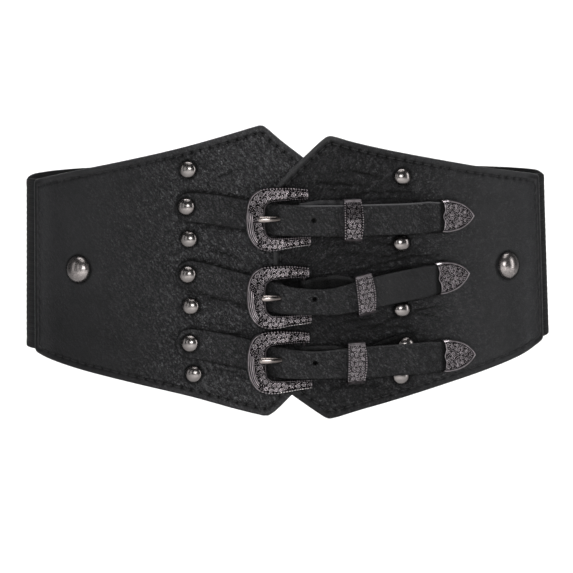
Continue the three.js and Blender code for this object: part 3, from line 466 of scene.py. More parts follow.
def distance_to(line, s, z):
    """Distance from points to a closed line."""
    flat_s, flat_z = np.ravel(s)[:, None], np.ravel(z)[:, None]
    best = np.full(flat_s.size, np.inf)
    starts, ends = (np.array_split(part, LINE_CHUNKS) for part in (line, np.roll(line, -1, 0)))
    for p, q in zip(starts, ends):
        run = q - p
        size = np.maximum((run**2).sum(1), 1e-12)
        ds, dz = flat_s - p[:, 0], flat_z - p[:, 1]
        t = np.clip((ds * run[:, 0] + dz * run[:, 1]) / size, 0, 1)
        best = np.minimum(best, ((ds - t * run[:, 0]) ** 2 + (dz - t * run[:, 1]) ** 2).min(1))
    return np.sqrt(best).reshape(np.shape(s))


def from_stroke(s, z, stroke):
    """Share along a straight stroke, and distance to its left."""
    s0, z0, s1, z1 = stroke
    run = np.array([s1 - s0, z1 - z0])
    along = ((s - s0) * run[0] + (z - z0) * run[1]) / (run @ run)
    return along, ((z - z0) * run[0] - (s - s0) * run[1]) / np.hypot(*run)


def crease(s, z, rows):
    """Height change of a panel's creases: a narrow valley between two low swells."""
    total = np.zeros(s.shape)
    for *stroke, depth, width in rows:
        t, side = from_stroke(s, z, stroke)
        arch = np.sin(np.pi * np.clip(t, 0, 1))
        side = side - CREASE_ARCH * arch
        side = side - CREASE_WANDER * ripple(s / 9.0, z / 30.0 + stroke[0], CREASE_SEED)
        swells = (SWELL_ABOVE * bell(side - SWELL_AWAY * width, SWELL_WIDTH * width)
                  + SWELL_BELOW * bell(side + SWELL_AWAY * width, SWELL_WIDTH * width))
        fade = np.sqrt(np.clip(arch, 0, 1))
        total += fade * CREASE_DEPTH * depth * (swells - bell(side, width))
    return total


def stroke_highlights(s, z):
    """The painted light strokes of the left panel, broken up along their length."""
    total = np.zeros(s.shape)
    for stroke in STROKES:
        t, side = from_stroke(s, z, stroke)
        side = side - RUB_WANDER * ripple(t * 3 + stroke[0], stroke[1], RUB_SEED)
        broken = np.clip(0.6 + 1.6 * ripple(t * 9 + stroke[1], stroke[0], RUB_SEED + 1), 0, 1)
        shown = smoothstep(t, 0, 0.2) * until(t, 0.8, 1) * broken
        total = np.maximum(total, shown * bell(side, RUB_WIDTH))
    return total


def pulled(s, z):
    """Distance and turn round the lacing, in millimetres: the way the right panel is drawn."""
    s0, z0 = s - PULL_CENTRE[0], z - PULL_CENTRE[1]
    turn = np.arctan2(z0, np.abs(s0) * PULL_FLATTEN + PULL_EASE)
    return np.hypot(s0, z0), PULL_TURN * turn


def slanted(s, z):
    """Places along and across the fall to the lower right, as the left panel's grain runs."""
    along, down = math.cos(GRAIN_FALL), math.sin(GRAIN_FALL)
    return along * s - down * z, down * s + along * z


def flat_layer(s, z):
    """The left panel lies at one height."""
    return PANEL_TOP + 0 * s


def overlap_layer(s, z):
    """The right panel eases down past the left one's end, and lies low under the loops."""
    height = OVERLAP_TOP + smoothstep(s, OVERLAP_END, OVERLAP_SETTLED) * (PANEL_TOP - OVERLAP_TOP)
    for loop_s, loop_z, *_ in KEEPERS.values():
        beyond = np.hypot(np.clip(np.abs(s - loop_s) - LOOP_HALF_LENGTH, 0, None),
                          np.clip(np.abs(z - loop_z) - LOOP_HALF_HEIGHT, 0, None))
        height = np.minimum(height, PANEL_TOP + 0.05 + LOOP_SLOPE * beyond)
    under_chape = np.interp(s, *CHAPE_LIFT.T) - GAP
    return np.minimum(height, np.maximum(under_chape, PANEL_TOP))


def beside_straps(s, z):
    """1 along the straps' outlines, where shadow is painted on the panel, falling to 0 around them."""
    total = np.zeros(s.shape)
    full = STRAP_WIDTH / 2
    for path in BILLETS.values():
        centre, last = path[0, 0] + full, path[-1, 0]
        across = np.abs(z - smooth_up(path, s)) * np.cos(path_direction(path, s))
        round_end = np.hypot(s - centre, z - smooth_up(path, centre))
        out = np.where(s < centre, round_end, across) - full
        share = 0.4 + 0.6 * smoothstep(s, centre - 0.4 * full, centre + 0.4 * full)
        total = np.maximum(total, share * bell(out - 0.3, 0.75) * (s < last))
    return total


class Panel:
    """A leather panel: its outline, seam, soft form and finish at any place."""

    def __init__(self, side, top, bottom, dents, creases, layer, seed):
        self.side, self.left, self.seed = side, side == "left", seed
        self.top, self.bottom, self.dents, self.creases = top, bottom, dents, creases
        self.layer, self.drawn = layer, slanted if self.left else pulled
        self.studs = [spot for spot in STUD_SPOTS if (spot[0] < 0) == self.left]
        self.s = self.stations()
        self.high, self.low = outline_z(top, self.s, 1), outline_z(bottom, self.s, -1)
        self.outline = np.vstack([np.stack([self.s, self.high], 1),
                                  np.stack([self.s, self.low], 1)[::-1]])
        self.pits = self.seam()

    def stations(self):
        """Places along the panel, closer at its ends and round its points."""
        first, last = self.top[0, 0], self.top[-1, 0]
        marks = [first + edge_marks(last - first, PANEL_STEP, PANEL_EDGE)]
        for table in (self.top, self.bottom):
            apex = table[np.argmax(np.abs(table[:, 1])), 0]
            marks.append(np.arange(apex - APEX_REACH, apex + APEX_REACH, APEX_STEP))
        marks = np.sort(np.concatenate(marks))
        marks = marks[np.concatenate([[True], np.diff(marks) > LEAST_STEP])]
        marks[-1] = last
        return marks

    def seam(self):
        """The needle holes, evenly set along a line inside the outline."""
        line = self.outline
        ahead = np.roll(line, -1, 0) - np.roll(line, 1, 0)
        length = np.maximum(np.hypot(*ahead.T), 1e-9)
        moved = line + SEAM_INSET * np.stack([ahead[:, 1], -ahead[:, 0]], 1) / length[:, None]
        moved = moved[distance_to(line, moved[:, 0], moved[:, 1]) > SEAM_INSET - 0.06]
        around = np.vstack([moved, moved[:1]])
        run = run_along(around)
        count = int(round(run[-1] / STITCH_PITCH))
        at = np.arange(count) * run[-1] / count
        return np.stack([np.interp(at, run, around[:, 0]), np.interp(at, run, around[:, 1])], 1)

    def form(self, s, z):
        """The panel's own soft form, which both faces share."""
        total = self.layer(s, z)
        for s0, z0, along, across, depth in self.dents:
            total = total - depth * np.exp(-2 * (((s - s0) / along) ** 2 + ((z - z0) / across) ** 2))
        return total + 0.16 * ripple(s / 31 + 5, z / 23, self.seed)

    def pitted(self, s, z):
        """1 at a needle hole of the seam, falling to 0 around it."""
        total = np.zeros(s.shape)
        for ps, pz in self.pits:
            near = (np.abs(s - ps) < PIT_REACH) & (np.abs(z - pz) < PIT_REACH)
            r = np.hypot(s[near] - ps, z[near] - pz)
            total[near] = np.maximum(total[near], bell(r, PIT_WIDTH))
        return total

    def outer(self, s, z, d, pitted, creased):
        """Layer height of the outer face, at distance d from the outline."""
        reach, turn = self.drawn(s, z)
        inside = (1 - 0.7 * smoothstep(np.abs(s), 70, 130)) * smoothstep(d, 4, 8)
        total = self.form(s, z) + creased * smoothstep(d, 3, 9)
        for number, (height, along, around) in enumerate(DRAWN_WAVES, 1):
            total += height * inside * ripple(reach / along, turn / around, self.seed + number)
        for height, at, width in (EDGE_SWELL, SEAM_GROOVE):
            total += height * bell(d - at, width)
        total -= drop(d, 1.0, 0.95) + PIT_DEPTH * pitted
        for ps, pz, radius in self.studs:
            total -= STUD_DISH * until(np.hypot(s - ps, z - pz), radius, radius + STUD_DISH_REACH)
        return total

    def finish(self, s, z, d, pitted, creased):
        """What the material reads on the outer face, and what it reads on the inner one."""
        across = np.abs(s)
        below = z < (self.high + self.low)[:, None] / 2
        at_end = smoothstep(across, END_FROM, END_FULL)
        shown = 1 - at_end
        reach, turn = self.drawn(s, z)
        grain = 1 - 0.82 * smoothstep(across, 52, 128)
        grain *= 0.85 + 0.35 * ripple(s / 16, z / 12, self.seed + 3)
        grain *= 0.45 + 0.55 * smoothstep(d, 2.6, 5.2)
        # Painted light and shade, a scale on the colour: darker over the left side's lower part, and a
        # painted highlight in a band near both ends.
        painted_lighting = 1 - 0.3 * smoothstep(-s, 60, 110) * smoothstep(-z, 0, 45)
        painted_lighting += 0.42 * bell(across - 152.5, 6.5)
        # Painted highlights: a light line along the upper edges, a light seam line at the ends, and the
        # light strokes.
        rim = 0.2 * np.exp(-d / 0.9) * (1 - 0.6 * at_end) * (1 - below * shown)
        rim += 0.16 * at_end * bell(d - SEAM_INSET, 0.6) + 0.5 * stroke_highlights(s, z)
        if self.left:
            # More painted light over the middle of the left panel.
            painted_lighting += 0.36 * smoothstep(s, -92, -40)
            seen = 1 - (0.85 - 0.35 * below) * smoothstep(across, 52, 96)
        else:
            # Painted shade over the right panel's middle; a painted highlight in a strip along its upper
            # left edge.
            painted_lighting -= PANEL_SHADE * (s > -12) * until(s, 62, 112)
            rim += 0.11 * until(s, 28, 40) * (z > 0) * until(d, 1.7, 2.7)
            seen = (1 - (0.5 + 0.4 * below) * smoothstep(across, 52, 96)) * (1 - 0.45 * below)
        # Painted shade, which darkens the colour: in the creases, along the seam's groove and in its
        # needle holes, under the lower edges, beside the straps, in the grooves at the ends and round the
        # studs.
        painted_shade = np.maximum.reduce([
            np.clip(-2.0 * creased, 0, 0.85),
            SEAM_SHADE * seen * shown * bell(d - SEAM_INSET, 0.5),
            np.minimum(1.15 * seen, 1) * shown * pitted,
            0.9 * below * shown * until(d, 0.3, 0.8),
            0.9 * beside_straps(s, z),
            0.55 * at_end * bell(d - 2.5, 0.8),
            *(0.9 * bell(np.hypot(s - ps, z - pz) - radius - 0.3, 0.8)
              for ps, pz, radius in self.studs)])
        flat = 0 * d
        return ({"grain": grain, "rim": rim, "painted_shade": painted_shade, "reach": reach, "turn": turn,
                 "painted_lighting": painted_lighting},
                # The inner face: darker all over, with painted shade in the needle holes.
                {"grain": 0.4 + flat, "rim": flat, "painted_shade": 0.8 * pitted, "reach": reach,
                 "turn": turn, "painted_lighting": 0.7 + flat})


def panel_piece(panel):
    """The panel as a wall between its two faces."""
    edge, last = PANEL_EDGE[None, :-1], PANEL_EDGE[-1]
    low, high = panel.low[:, None], panel.high[:, None]
    z = np.concatenate([low + edge,
                        low + last + np.linspace(0, 1, PANEL_ROWS) * (high - low - 2 * last),
                        high - edge[:, ::-1]], 1)
    s = np.repeat(panel.s[:, None], z.shape[1], 1)
    d = distance_to(panel.outline, s, z)
    pitted, creased = panel.pitted(s, z), crease(s, z, panel.creases)
    inner = panel.form(s, z) - PANEL_THICKNESS + drop(d, 0.5, 0.35)
    values, lining = panel.finish(s, z, d, pitted, creased)
    piece = make(f"panel_{panel.side}_leather", wall(s, z, panel.outer(s, z, d, pitted, creased), inner),
                 LEATHER, [f"panel_{panel.side}"],
                 {key: doubled(value, lining[key]) for key, value in values.items()})


def thread_piece(panel):
    """Machine stitches from pit to pit, each one a short thread that dives at both ends."""
    t = np.linspace(0, 1, 9)
    cos, sin = np.cos(turns(6)), np.sin(turns(6))
    radius = 0.3 * np.sqrt(np.clip(1.02 - (2 * t - 1) ** 6, 0.05, 1))[:, None]
    ends = np.vstack([panel.pits, panel.pits[:1]])
    shells = []
    for start, end in zip(ends[:-1], ends[1:]):
        length = math.hypot(*(end - start))
        if length > 1.6 * STITCH_PITCH:
            continue
        s, z = (start + (end - start) * (0.06 + 0.88 * t[:, None])).T
        n = panel.form(s, z) - 0.74 + 0.66 * np.sin(np.pi * t) ** 0.6
        left_s, left_z = (start[1] - end[1]) / length, (end[0] - start[0]) / length
        shells.append(loft(place(s[:, None] + left_s * radius * cos, z[:, None] + left_z * radius * cos,
                                 n[:, None] + 0.85 * radius * sin), cap="fan"))
    make(f"seam_stitches_{panel.side}", joined(shells), THREAD)


# Elastic

ELASTIC_EDGE, ELASTIC_STEP = [0, 0.004, 0.012, 0.022], 0.0071


def elastic_piece():
    """The webbing round the back: ribs between two selvedges, with slight waves."""
    first, last = ELASTIC_ROWS[0, 0], ELASTIC_ROWS[-1, 0]
    s = np.unique(np.round(np.concatenate([
        np.linspace(first, last, 150), np.arange(170, 206, 1.0), np.arange(541, 580, 1.0)]), 2))
    t = edge_marks(1, ELASTIC_STEP, ELASTIC_EDGE)
    top, bottom = (smooth_up(ELASTIC_ROWS, s, column)[:, None] for column in (1, 2))
    z = bottom + t * (top - bottom)
    s = np.repeat(s[:, None], t.size, 1)
    d = np.minimum(z - bottom, top - z)
    held = smoothstep(s, 170, 200) * until(s, 552, 580)
    wave = 0.22 * ripple(s / 38, z / 60 + 3, 21) + 0.08 * ripple(s / 9, z / 30, 22)
    wave = np.minimum(wave * held, 0.2)
    cords = np.cos(2 * np.pi * d / RIB_PITCH) * smoothstep(d, 6, 8)
    selvedge = 0.14 * bell(d - 2.4, 1.6) - 0.12 * bell(d - 5.6, 0.9) + 0.1 * cords
    rounding = drop(d, 0.6, 0.55)
    rib = 0.5 + 0.5 * cords
    # Painted shade on the webbing beside both panels' ends.
    painted_shade_scale = 1 - 0.75 * np.maximum(bell(s - 173, 7), bell(s - 588, 5))
    piece = make("elastic_webbing",
                 wall(s, z, ELASTIC_THICKNESS + wave + selvedge * held - rounding,
                      wave - selvedge * held + rounding),
                 ELASTIC, ["elastic_band"],
                 {"rib": doubled(rib, rib), "painted_shade_scale": doubled(painted_shade_scale, painted_shade_scale)})


# Straps

STRAP_EDGE = [0, 0.04, 0.14, 0.3, 0.5, 0.75, 1.05, 1.4, 1.8, 2.3]
STRAP_COLUMN, BILLET_ROW, CHAPE_ROW = 0.72, 0.85, 1.2
CHAPE_PLY = 1.12
CHAPE_ARC = np.radians(np.linspace(270, 80, 19))
BILLET_TURN = np.radians([3, 7, 12, 18, 25, 33, 42, 52, 62, 72, 81, 90])
CHAPE_TURN = np.radians([4, 9, 15, 22, 30, 40, 50, 60, 70, 80, 90])
BILLET_STUD = {"top": 1, "middle": 3, "bottom": 5}
SAG_AT = 16
# Dishes round a billet's holes: depth, half width. Its stud's: depth, and where it ends.
HOLE_DISH, SPARE_DISH, STUD_SINK = (0.35, 2.6), (0.3, 1.9), (0.25, 4.9, 6.8)
HOLE_SPARE, SPARE_HOLE_SPARE = 0.3, -0.3
SLOT_SPARE = 0.35


def path_direction(path, s, reach=1.5):
    """How steeply a centreline rises, as an angle."""
    rise = smooth_up(path, s + reach) - smooth_up(path, s - reach)
    return np.arctan2(rise, np.minimum(s + reach, path[-1, 0]) - np.maximum(s - reach, path[0, 0]))


def strap_rows(half):
    """Places across a strap, close together at its edges."""
    full = STRAP_WIDTH / 2
    marks = edge_marks(2 * full, STRAP_COLUMN, STRAP_EDGE) - full
    return marks * (half / full)[:, None]


def strap_piece(kind, key, rings, values):
    """A strap with the same values on both faces."""
    return make(f"{kind}_{key}_strap", loft(rings), STRAP, [f"{kind}_{key}"],
                {name: doubled(value, value) for name, value in values.items()})


def billet_grid(path, sag, sag_length):
    """Stations along a billet; then places, offset and distance from its edge, over its width."""
    full = STRAP_WIDTH / 2
    centre, last = path[0, 0] + full, path[-1, 0]
    s = np.concatenate([centre - full * np.cos(BILLET_TURN),
                        np.linspace(centre, last, int((last - centre) / BILLET_ROW))[1:]])
    half = circle_half(np.clip(centre - s, 0, None), full)
    half = half - STRAP_END_NARROWING * smoothstep(s, last - 14, last - 7)
    above = (half - sag * bell(s - SAG_AT, sag_length) * smoothstep(s, -14, 2))[:, None]
    half, v = half[:, None], strap_rows(half)
    v = np.where(v > 0, v * (above / np.maximum(half, 0.01)), v)
    lean = path_direction(path, s)[:, None]
    ps, pz = s[:, None] - v * np.sin(lean), smooth_up(path, s)[:, None] + v * np.cos(lean)
    flat_d = np.where(v > 0, above - v, half + v)
    round_d = full - np.hypot(s[:, None] - centre, v)
    d = np.where(s[:, None] < centre, np.minimum(round_d, flat_d), flat_d)
    return s, ps, pz, v, np.clip(d, 0, None)


def billet_piece(key, seed):
    """A strap from its riveted round end, over the bar and into its metal end, with two holes."""
    path = BILLETS[key]
    bar_s, _, prong_z = BUCKLES[key]
    s, ps, pz, v, d = billet_grid(path, *BILLET_SAG[key])
    hole_s, spare_s = bar_s - HOLE_FROM_BAR, bar_s + SPARE_FROM_BAR
    spare_z = smooth_up(path, spare_s) + SPARE_RISE
    stud_s, stud_z, _ = LEFT_STUDS[BILLET_STUD[key]]
    from_hole = np.hypot(ps - hole_s, pz - prong_z)
    from_spare = np.hypot(ps - spare_s, pz - spare_z)
    from_stud = np.hypot(ps - stud_s, pz - stud_z)
    inner = np.repeat(smooth_up(BILLET_LIFT, s)[:, None], v.shape[1], 1)
    outer = inner + STRAP_THICKNESS - drop(d, 0.75, 1.25)
    outer += 0.09 * ripple(ps / 14, pz / 9, seed) * smoothstep(d, 0.5, 3)
    outer += 0.05 * ripple(ps / 2.6, pz / 2.2, seed + 1) * smoothstep(d, 1.5, 3)
    for (depth, width), away in ((HOLE_DISH, from_hole), (SPARE_DISH, from_spare)):
        outer -= depth * bell(away, width)
    outer -= STUD_SINK[0] * until(from_stud, *STUD_SINK[1:])
    grain = 0.8 * (1 - SMOOTH_END[key] * smoothstep(ps, 40, 60))
    reach, turn = slanted(ps, pz)
    values = {
        # Painted highlight along the upper edge right of the buckle; painted shade along the edges left of
        # it, under the lower edge, by the frame, round the stud and spare hole, and at the metal end's
        # mouth.
        "rim": BILLET_EDGE_HIGHLIGHT[key] * until(d, 0.45, 0.85) * (v > 0) * smoothstep(ps, 4, 14),
        "painted_shade": np.maximum.reduce([
            0.95 * bell(d, 0.75) * until(ps, -12, -2),
            0.8 * bell(d, 0.6) * (v < 0),
            0.75 * bell(ps + 11.5, 2.4),
            0.9 * bell(from_stud - STUD_RADIUS - 0.3, 0.8),
            0.9 * bell(from_spare - 1.1, 0.4),
            0.95 * bell(np.clip(TIPS[key][0] + 0.4 - ps, 0, None), 0.8)]),
        "reach": reach, "turn": turn, "grain": grain * (1 + 0.5 * ripple(ps / 12, pz / 12, 5)),
        # Painted shade: each billet darker right of the buckle.
        "painted_lighting": 0.97 - STRAP_SHADE[key] * smoothstep(ps, -10, 20)}
    rings = doubled(place(ps, pz, outer), place(ps, pz, inner + drop(d, 0.4, 0.3)))
    piece = strap_piece("billet", key, rings, values)
    cut(piece, hole_plug(hole_s, prong_z, HOLE_SPARE, 7, 13, HOLE_SLANT))
    cut(piece, hole_plug(spare_s, spare_z, SPARE_HOLE_SPARE, 8.6, 14))


def hole_plug(s, z, spare, low, high, slant=0.0):
    """A punch for a hole; a slanted one follows the prong that climbs through it."""
    radius = HOLE_DIAMETER / 2 + spare
    angle = turns(24) + 0.13
    return loft(np.stack([place(s - slant * (n - HOLE_LEVEL) + (1 + 0.25 * slant) * radius * np.cos(angle),
                                z + radius * np.sin(angle), n) for n in (low, high)]), cap="fan")


def chape_line(bar_s, last, full):
    """The folded strap from the side: out along the panel, round the bar and back. s, n."""
    neck = bar_s + CHAPE_NECK
    end_s = last - full * (1 - np.cos(CHAPE_TURN))
    flat_s = np.concatenate([end_s, np.linspace(
        end_s[-1], neck, int((end_s[-1] - neck) / CHAPE_ROW))[1:]])
    lift = np.interp(flat_s, *CHAPE_LIFT.T)
    low_n, high_n = lift + CHAPE_PLY / 2, lift + CHAPE_THICKNESS - CHAPE_PLY / 2
    radius = BAR_RADIUS + GAP + LOOP_WALL / 2
    arc_s, arc_n = bar_s + radius * np.cos(CHAPE_ARC), BAR_HEIGHT + radius * np.sin(CHAPE_ARC)
    t = np.linspace(0, 1, 9)[1:-1]
    ease = smoothstep(t, 0, 1)
    return (np.concatenate([flat_s, neck + t * (arc_s[0] - neck), arc_s,
                            arc_s[-1] + t * (neck - arc_s[-1]), flat_s[::-1]]),
            np.concatenate([low_n, low_n[-1] + ease * (arc_n[0] - low_n[-1]), arc_n,
                            arc_n[-1] + ease * (high_n[-1] - arc_n[-1]), high_n[::-1]]))


def chape_piece(key, seed):
    """A strap folded round the bar, its two layers lying on each other, slotted for the prong."""
    path, top = CHAPES[key], key == "top"
    bar_s, _, prong_z = BUCKLES[key]
    full = CHAPE_WIDTH / 2
    centre = path[-1, 0] - full
    s, n = chape_line(bar_s, path[-1, 0], full)
    ds, dn = np.gradient(s), np.gradient(n)
    size = np.hypot(ds, dn)
    side_s, side_n = (dn / size)[:, None], (-ds / size)[:, None]
    thick = np.interp(np.abs(s - bar_s), [2.4, 7.0], [LOOP_WALL, CHAPE_PLY])[:, None]
    half = circle_half(np.clip(s - centre, 0, None), full)
    v = strap_rows(half)
    z = smooth_up(path, s)[:, None] + v
    s, n = s[:, None], n[:, None]
    round_d = full - np.hypot(np.clip(s - centre, 0, None), v)
    d = np.clip(np.where(s > centre, round_d, half[:, None] - np.abs(v)), 0, None)
    inner = thick / 2 - drop(d, 0.6, 0.34)
    outer = -(inner + 0.04 * ripple(s / 3, v / 2.4, seed) * smoothstep(d, 1, 2.5))
    rings = doubled(*(place(s + side_s * out, z, n + side_n * out) for out in (outer, inner)))
    # Painted light in patches: a highlight on the upper edge near the bar, painted shade between the
    # patches, more painted shade on the middle and bottom chapes.
    patches = np.clip(0.75 + 1.6 * ripple(s / 5, v / 6, seed + 2), 0, 1)
    reach, turn = slanted(s, z)
    rim = (0.42 if top else 0.1) * until(d, 1.6, 3.0) * (v > 0) * patches * until(s, 34, 42)
    painted_shade = (0.9 * (1 - patches) + (0 if top else 0.55)) * smoothstep(d, 1.8, 2.6)
    piece = strap_piece("chape", key, rings, {
        "rim": 0.8 * rim, "painted_shade": painted_shade, "reach": reach, "turn": turn, "grain": 0.8 + 0 * v,
        "painted_lighting": (0.4 if top else 0.1) + 0 * v})
    outside = BAR_RADIUS + GAP + LOOP_WALL
    slot_half = PRONG_WIDTH / 2 + SLOT_SPARE
    slot_z = prong_z + slot_half * np.array([-1, 1, 1, -1])
    slot_n = BAR_HEIGHT + (outside + 1) * np.array([1, 1, -1, -1])
    cut(piece, loft(np.stack([place(bar_s + at, slot_z, slot_n)
                              for at in (-outside - 1, outside + 0.6)])))


# Raised scrollwork

FILL_PITCH, LEAF_ROOM, BERRY_ROOM = 0.72, 0.5, 0.3
STIPPLE = 0.42
WIND_POINTS, WIND_INWARD = 34, 0.84
RIDGE_CHUNK = 48


def spiral(u, w, radius, winds, start, hand, thick):
    """A stroke (u, w, half width) that winds inward."""
    t = np.linspace(0, 1, int(WIND_POINTS * winds))
    r = radius * (1 - WIND_INWARD * t)
    a = start + hand * winds * 2 * np.pi * t
    return np.stack([u + r * np.cos(a), w + r * np.sin(a), thick * (1 - 0.25 * t)], 1)


def leaf(u, w, angle, length, thick, curl=0.0):
    """A short bent stroke, widest in the middle."""
    t = np.linspace(0, 1, 9)
    a = angle + curl * t
    du, dw = np.cumsum(np.cos(a)) / t.size, np.cumsum(np.sin(a)) / t.size
    size = thick * np.clip(np.sin(np.pi * (0.18 + 0.78 * t)), 0.15, 1)
    return np.stack([u + length * du, w + length * dw, size], 1)


def ridge(u, w, strokes):
    """Rounded ridges along strokes (u, w, half width): 1 on a crest, 0 beyond its foot."""
    flat_u, flat_w = u.ravel(), w.ravel()
    best = np.full(flat_u.size, 9.0)
    for part in np.array_split(strokes, max(1, len(strokes) // RIDGE_CHUNK)):
        (low_u, low_w), (high_u, high_w) = part[:, :2].min(0), part[:, :2].max(0)
        reach = part[:, 2].max()
        near = np.flatnonzero((flat_u > low_u - reach) & (flat_u < high_u + reach)
                              & (flat_w > low_w - reach) & (flat_w < high_w + reach))
        if near.size:
            q = ((flat_u[near, None] - part[:, 0]) ** 2
                 + (flat_w[near, None] - part[:, 1]) ** 2) / part[:, 2] ** 2
            best[near] = np.minimum(best[near], q.min(1))
    return np.sqrt(np.clip(1 - best, 0, 1)).reshape(u.shape)


def filled(strokes, inside, u_span, w_span, seed):
    """Strokes with small leaves and berries set in the ground left between them."""
    rng = np.random.default_rng(seed)
    points = np.vstack(strokes)
    for u in np.arange(*u_span, FILL_PITCH):
        for w in np.arange(*w_span, FILL_PITCH):
            cu, cw = u + rng.uniform(-0.3, 0.3), w + rng.uniform(-0.3, 0.3)
            angle, bend = rng.uniform(0, 2 * np.pi), rng.uniform(-0.8, 0.8)
            if not inside(cu, cw):
                continue
            clear = (np.hypot(points[:, 0] - cu, points[:, 1] - cw) - points[:, 2]).min()
            if clear > LEAF_ROOM:
                new = leaf(cu - 0.4 * math.cos(angle), cw - 0.4 * math.sin(angle), angle, 0.85, 0.29, bend)
            elif clear > BERRY_ROOM:
                new = np.array([[cu, cw, min(0.34, clear - 0.02)]])
            else:
                continue
            points = np.vstack([points, new])
    return points


def carved(u, w, strokes, edge_fade, depth, seed):
    """Height and polish of carved ground: ridges on a stippled floor."""
    crest = ridge(u, w, strokes)
    stipple = ripple(u / STIPPLE, w / STIPPLE, seed)
    height = depth * (0.9 * crest + 0.12 * stipple * (1 - crest) - 0.45) * edge_fade
    polish_and_painted_light = np.clip(1.15 * crest + 0.08 * stipple, 0, 1) * edge_fade + 0.8 * (1 - edge_fade)
    return height, polish_and_painted_light


def catmull(points, t):
    """The point at share t of a centripetal curve through the points."""
    last = len(points) - 1
    at = t * last
    i = min(int(at), last - 1)
    x1, x2 = points[i], points[i + 1]
    x0 = points[i - 1] if i > 0 else 2 * x1 - x2
    x3 = points[i + 2] if i + 2 <= last else 2 * x2 - x1
    d0, d1, d2 = (np.sqrt(np.linalg.norm(b - a)) for a, b in ((x0, x1), (x1, x2), (x2, x3)))
    t1 = ((x1 - x0) / d0 - (x2 - x0) / (d0 + d1) + (x2 - x1) / d1) * d1
    t2 = ((x2 - x1) / d1 - (x3 - x1) / (d1 + d2) + (x3 - x2) / d2) * d1
    w = at - i
    return x1 + t1 * w + (3 * x2 - 3 * x1 - 2 * t1 - t2) * w**2 + (2 * x1 - 2 * x2 + t1 + t2) * w**3


# Buckle frames

FRAME_STATIONS, FRAME_ACROSS = 450, 50
FRAME_EDGE = [0, 0.05, 0.15, 0.3, 0.5, 0.75]
RIM_OUT, RIM_IN = 0.72, 0.62
BOW = np.array([0.30, 0.66])
OUTER_BEADS, INNER_BEADS = (0.8, 1.5), (0.7, 1.36)
LONG_LINES, LONG_LINE_POINTS = ((1.75, 0.3), (2.75, 0.34), (3.7, 0.28)), 60
# The first is the painted shade on the frame's back and bar.
PAINTED_BACK_SHADE, END_POLISH = 0.12, 0.5
BAR_REACH = (-12.4, 13.2)
CLIMB_END, PRONG_FULLNESS = -16, 1.03


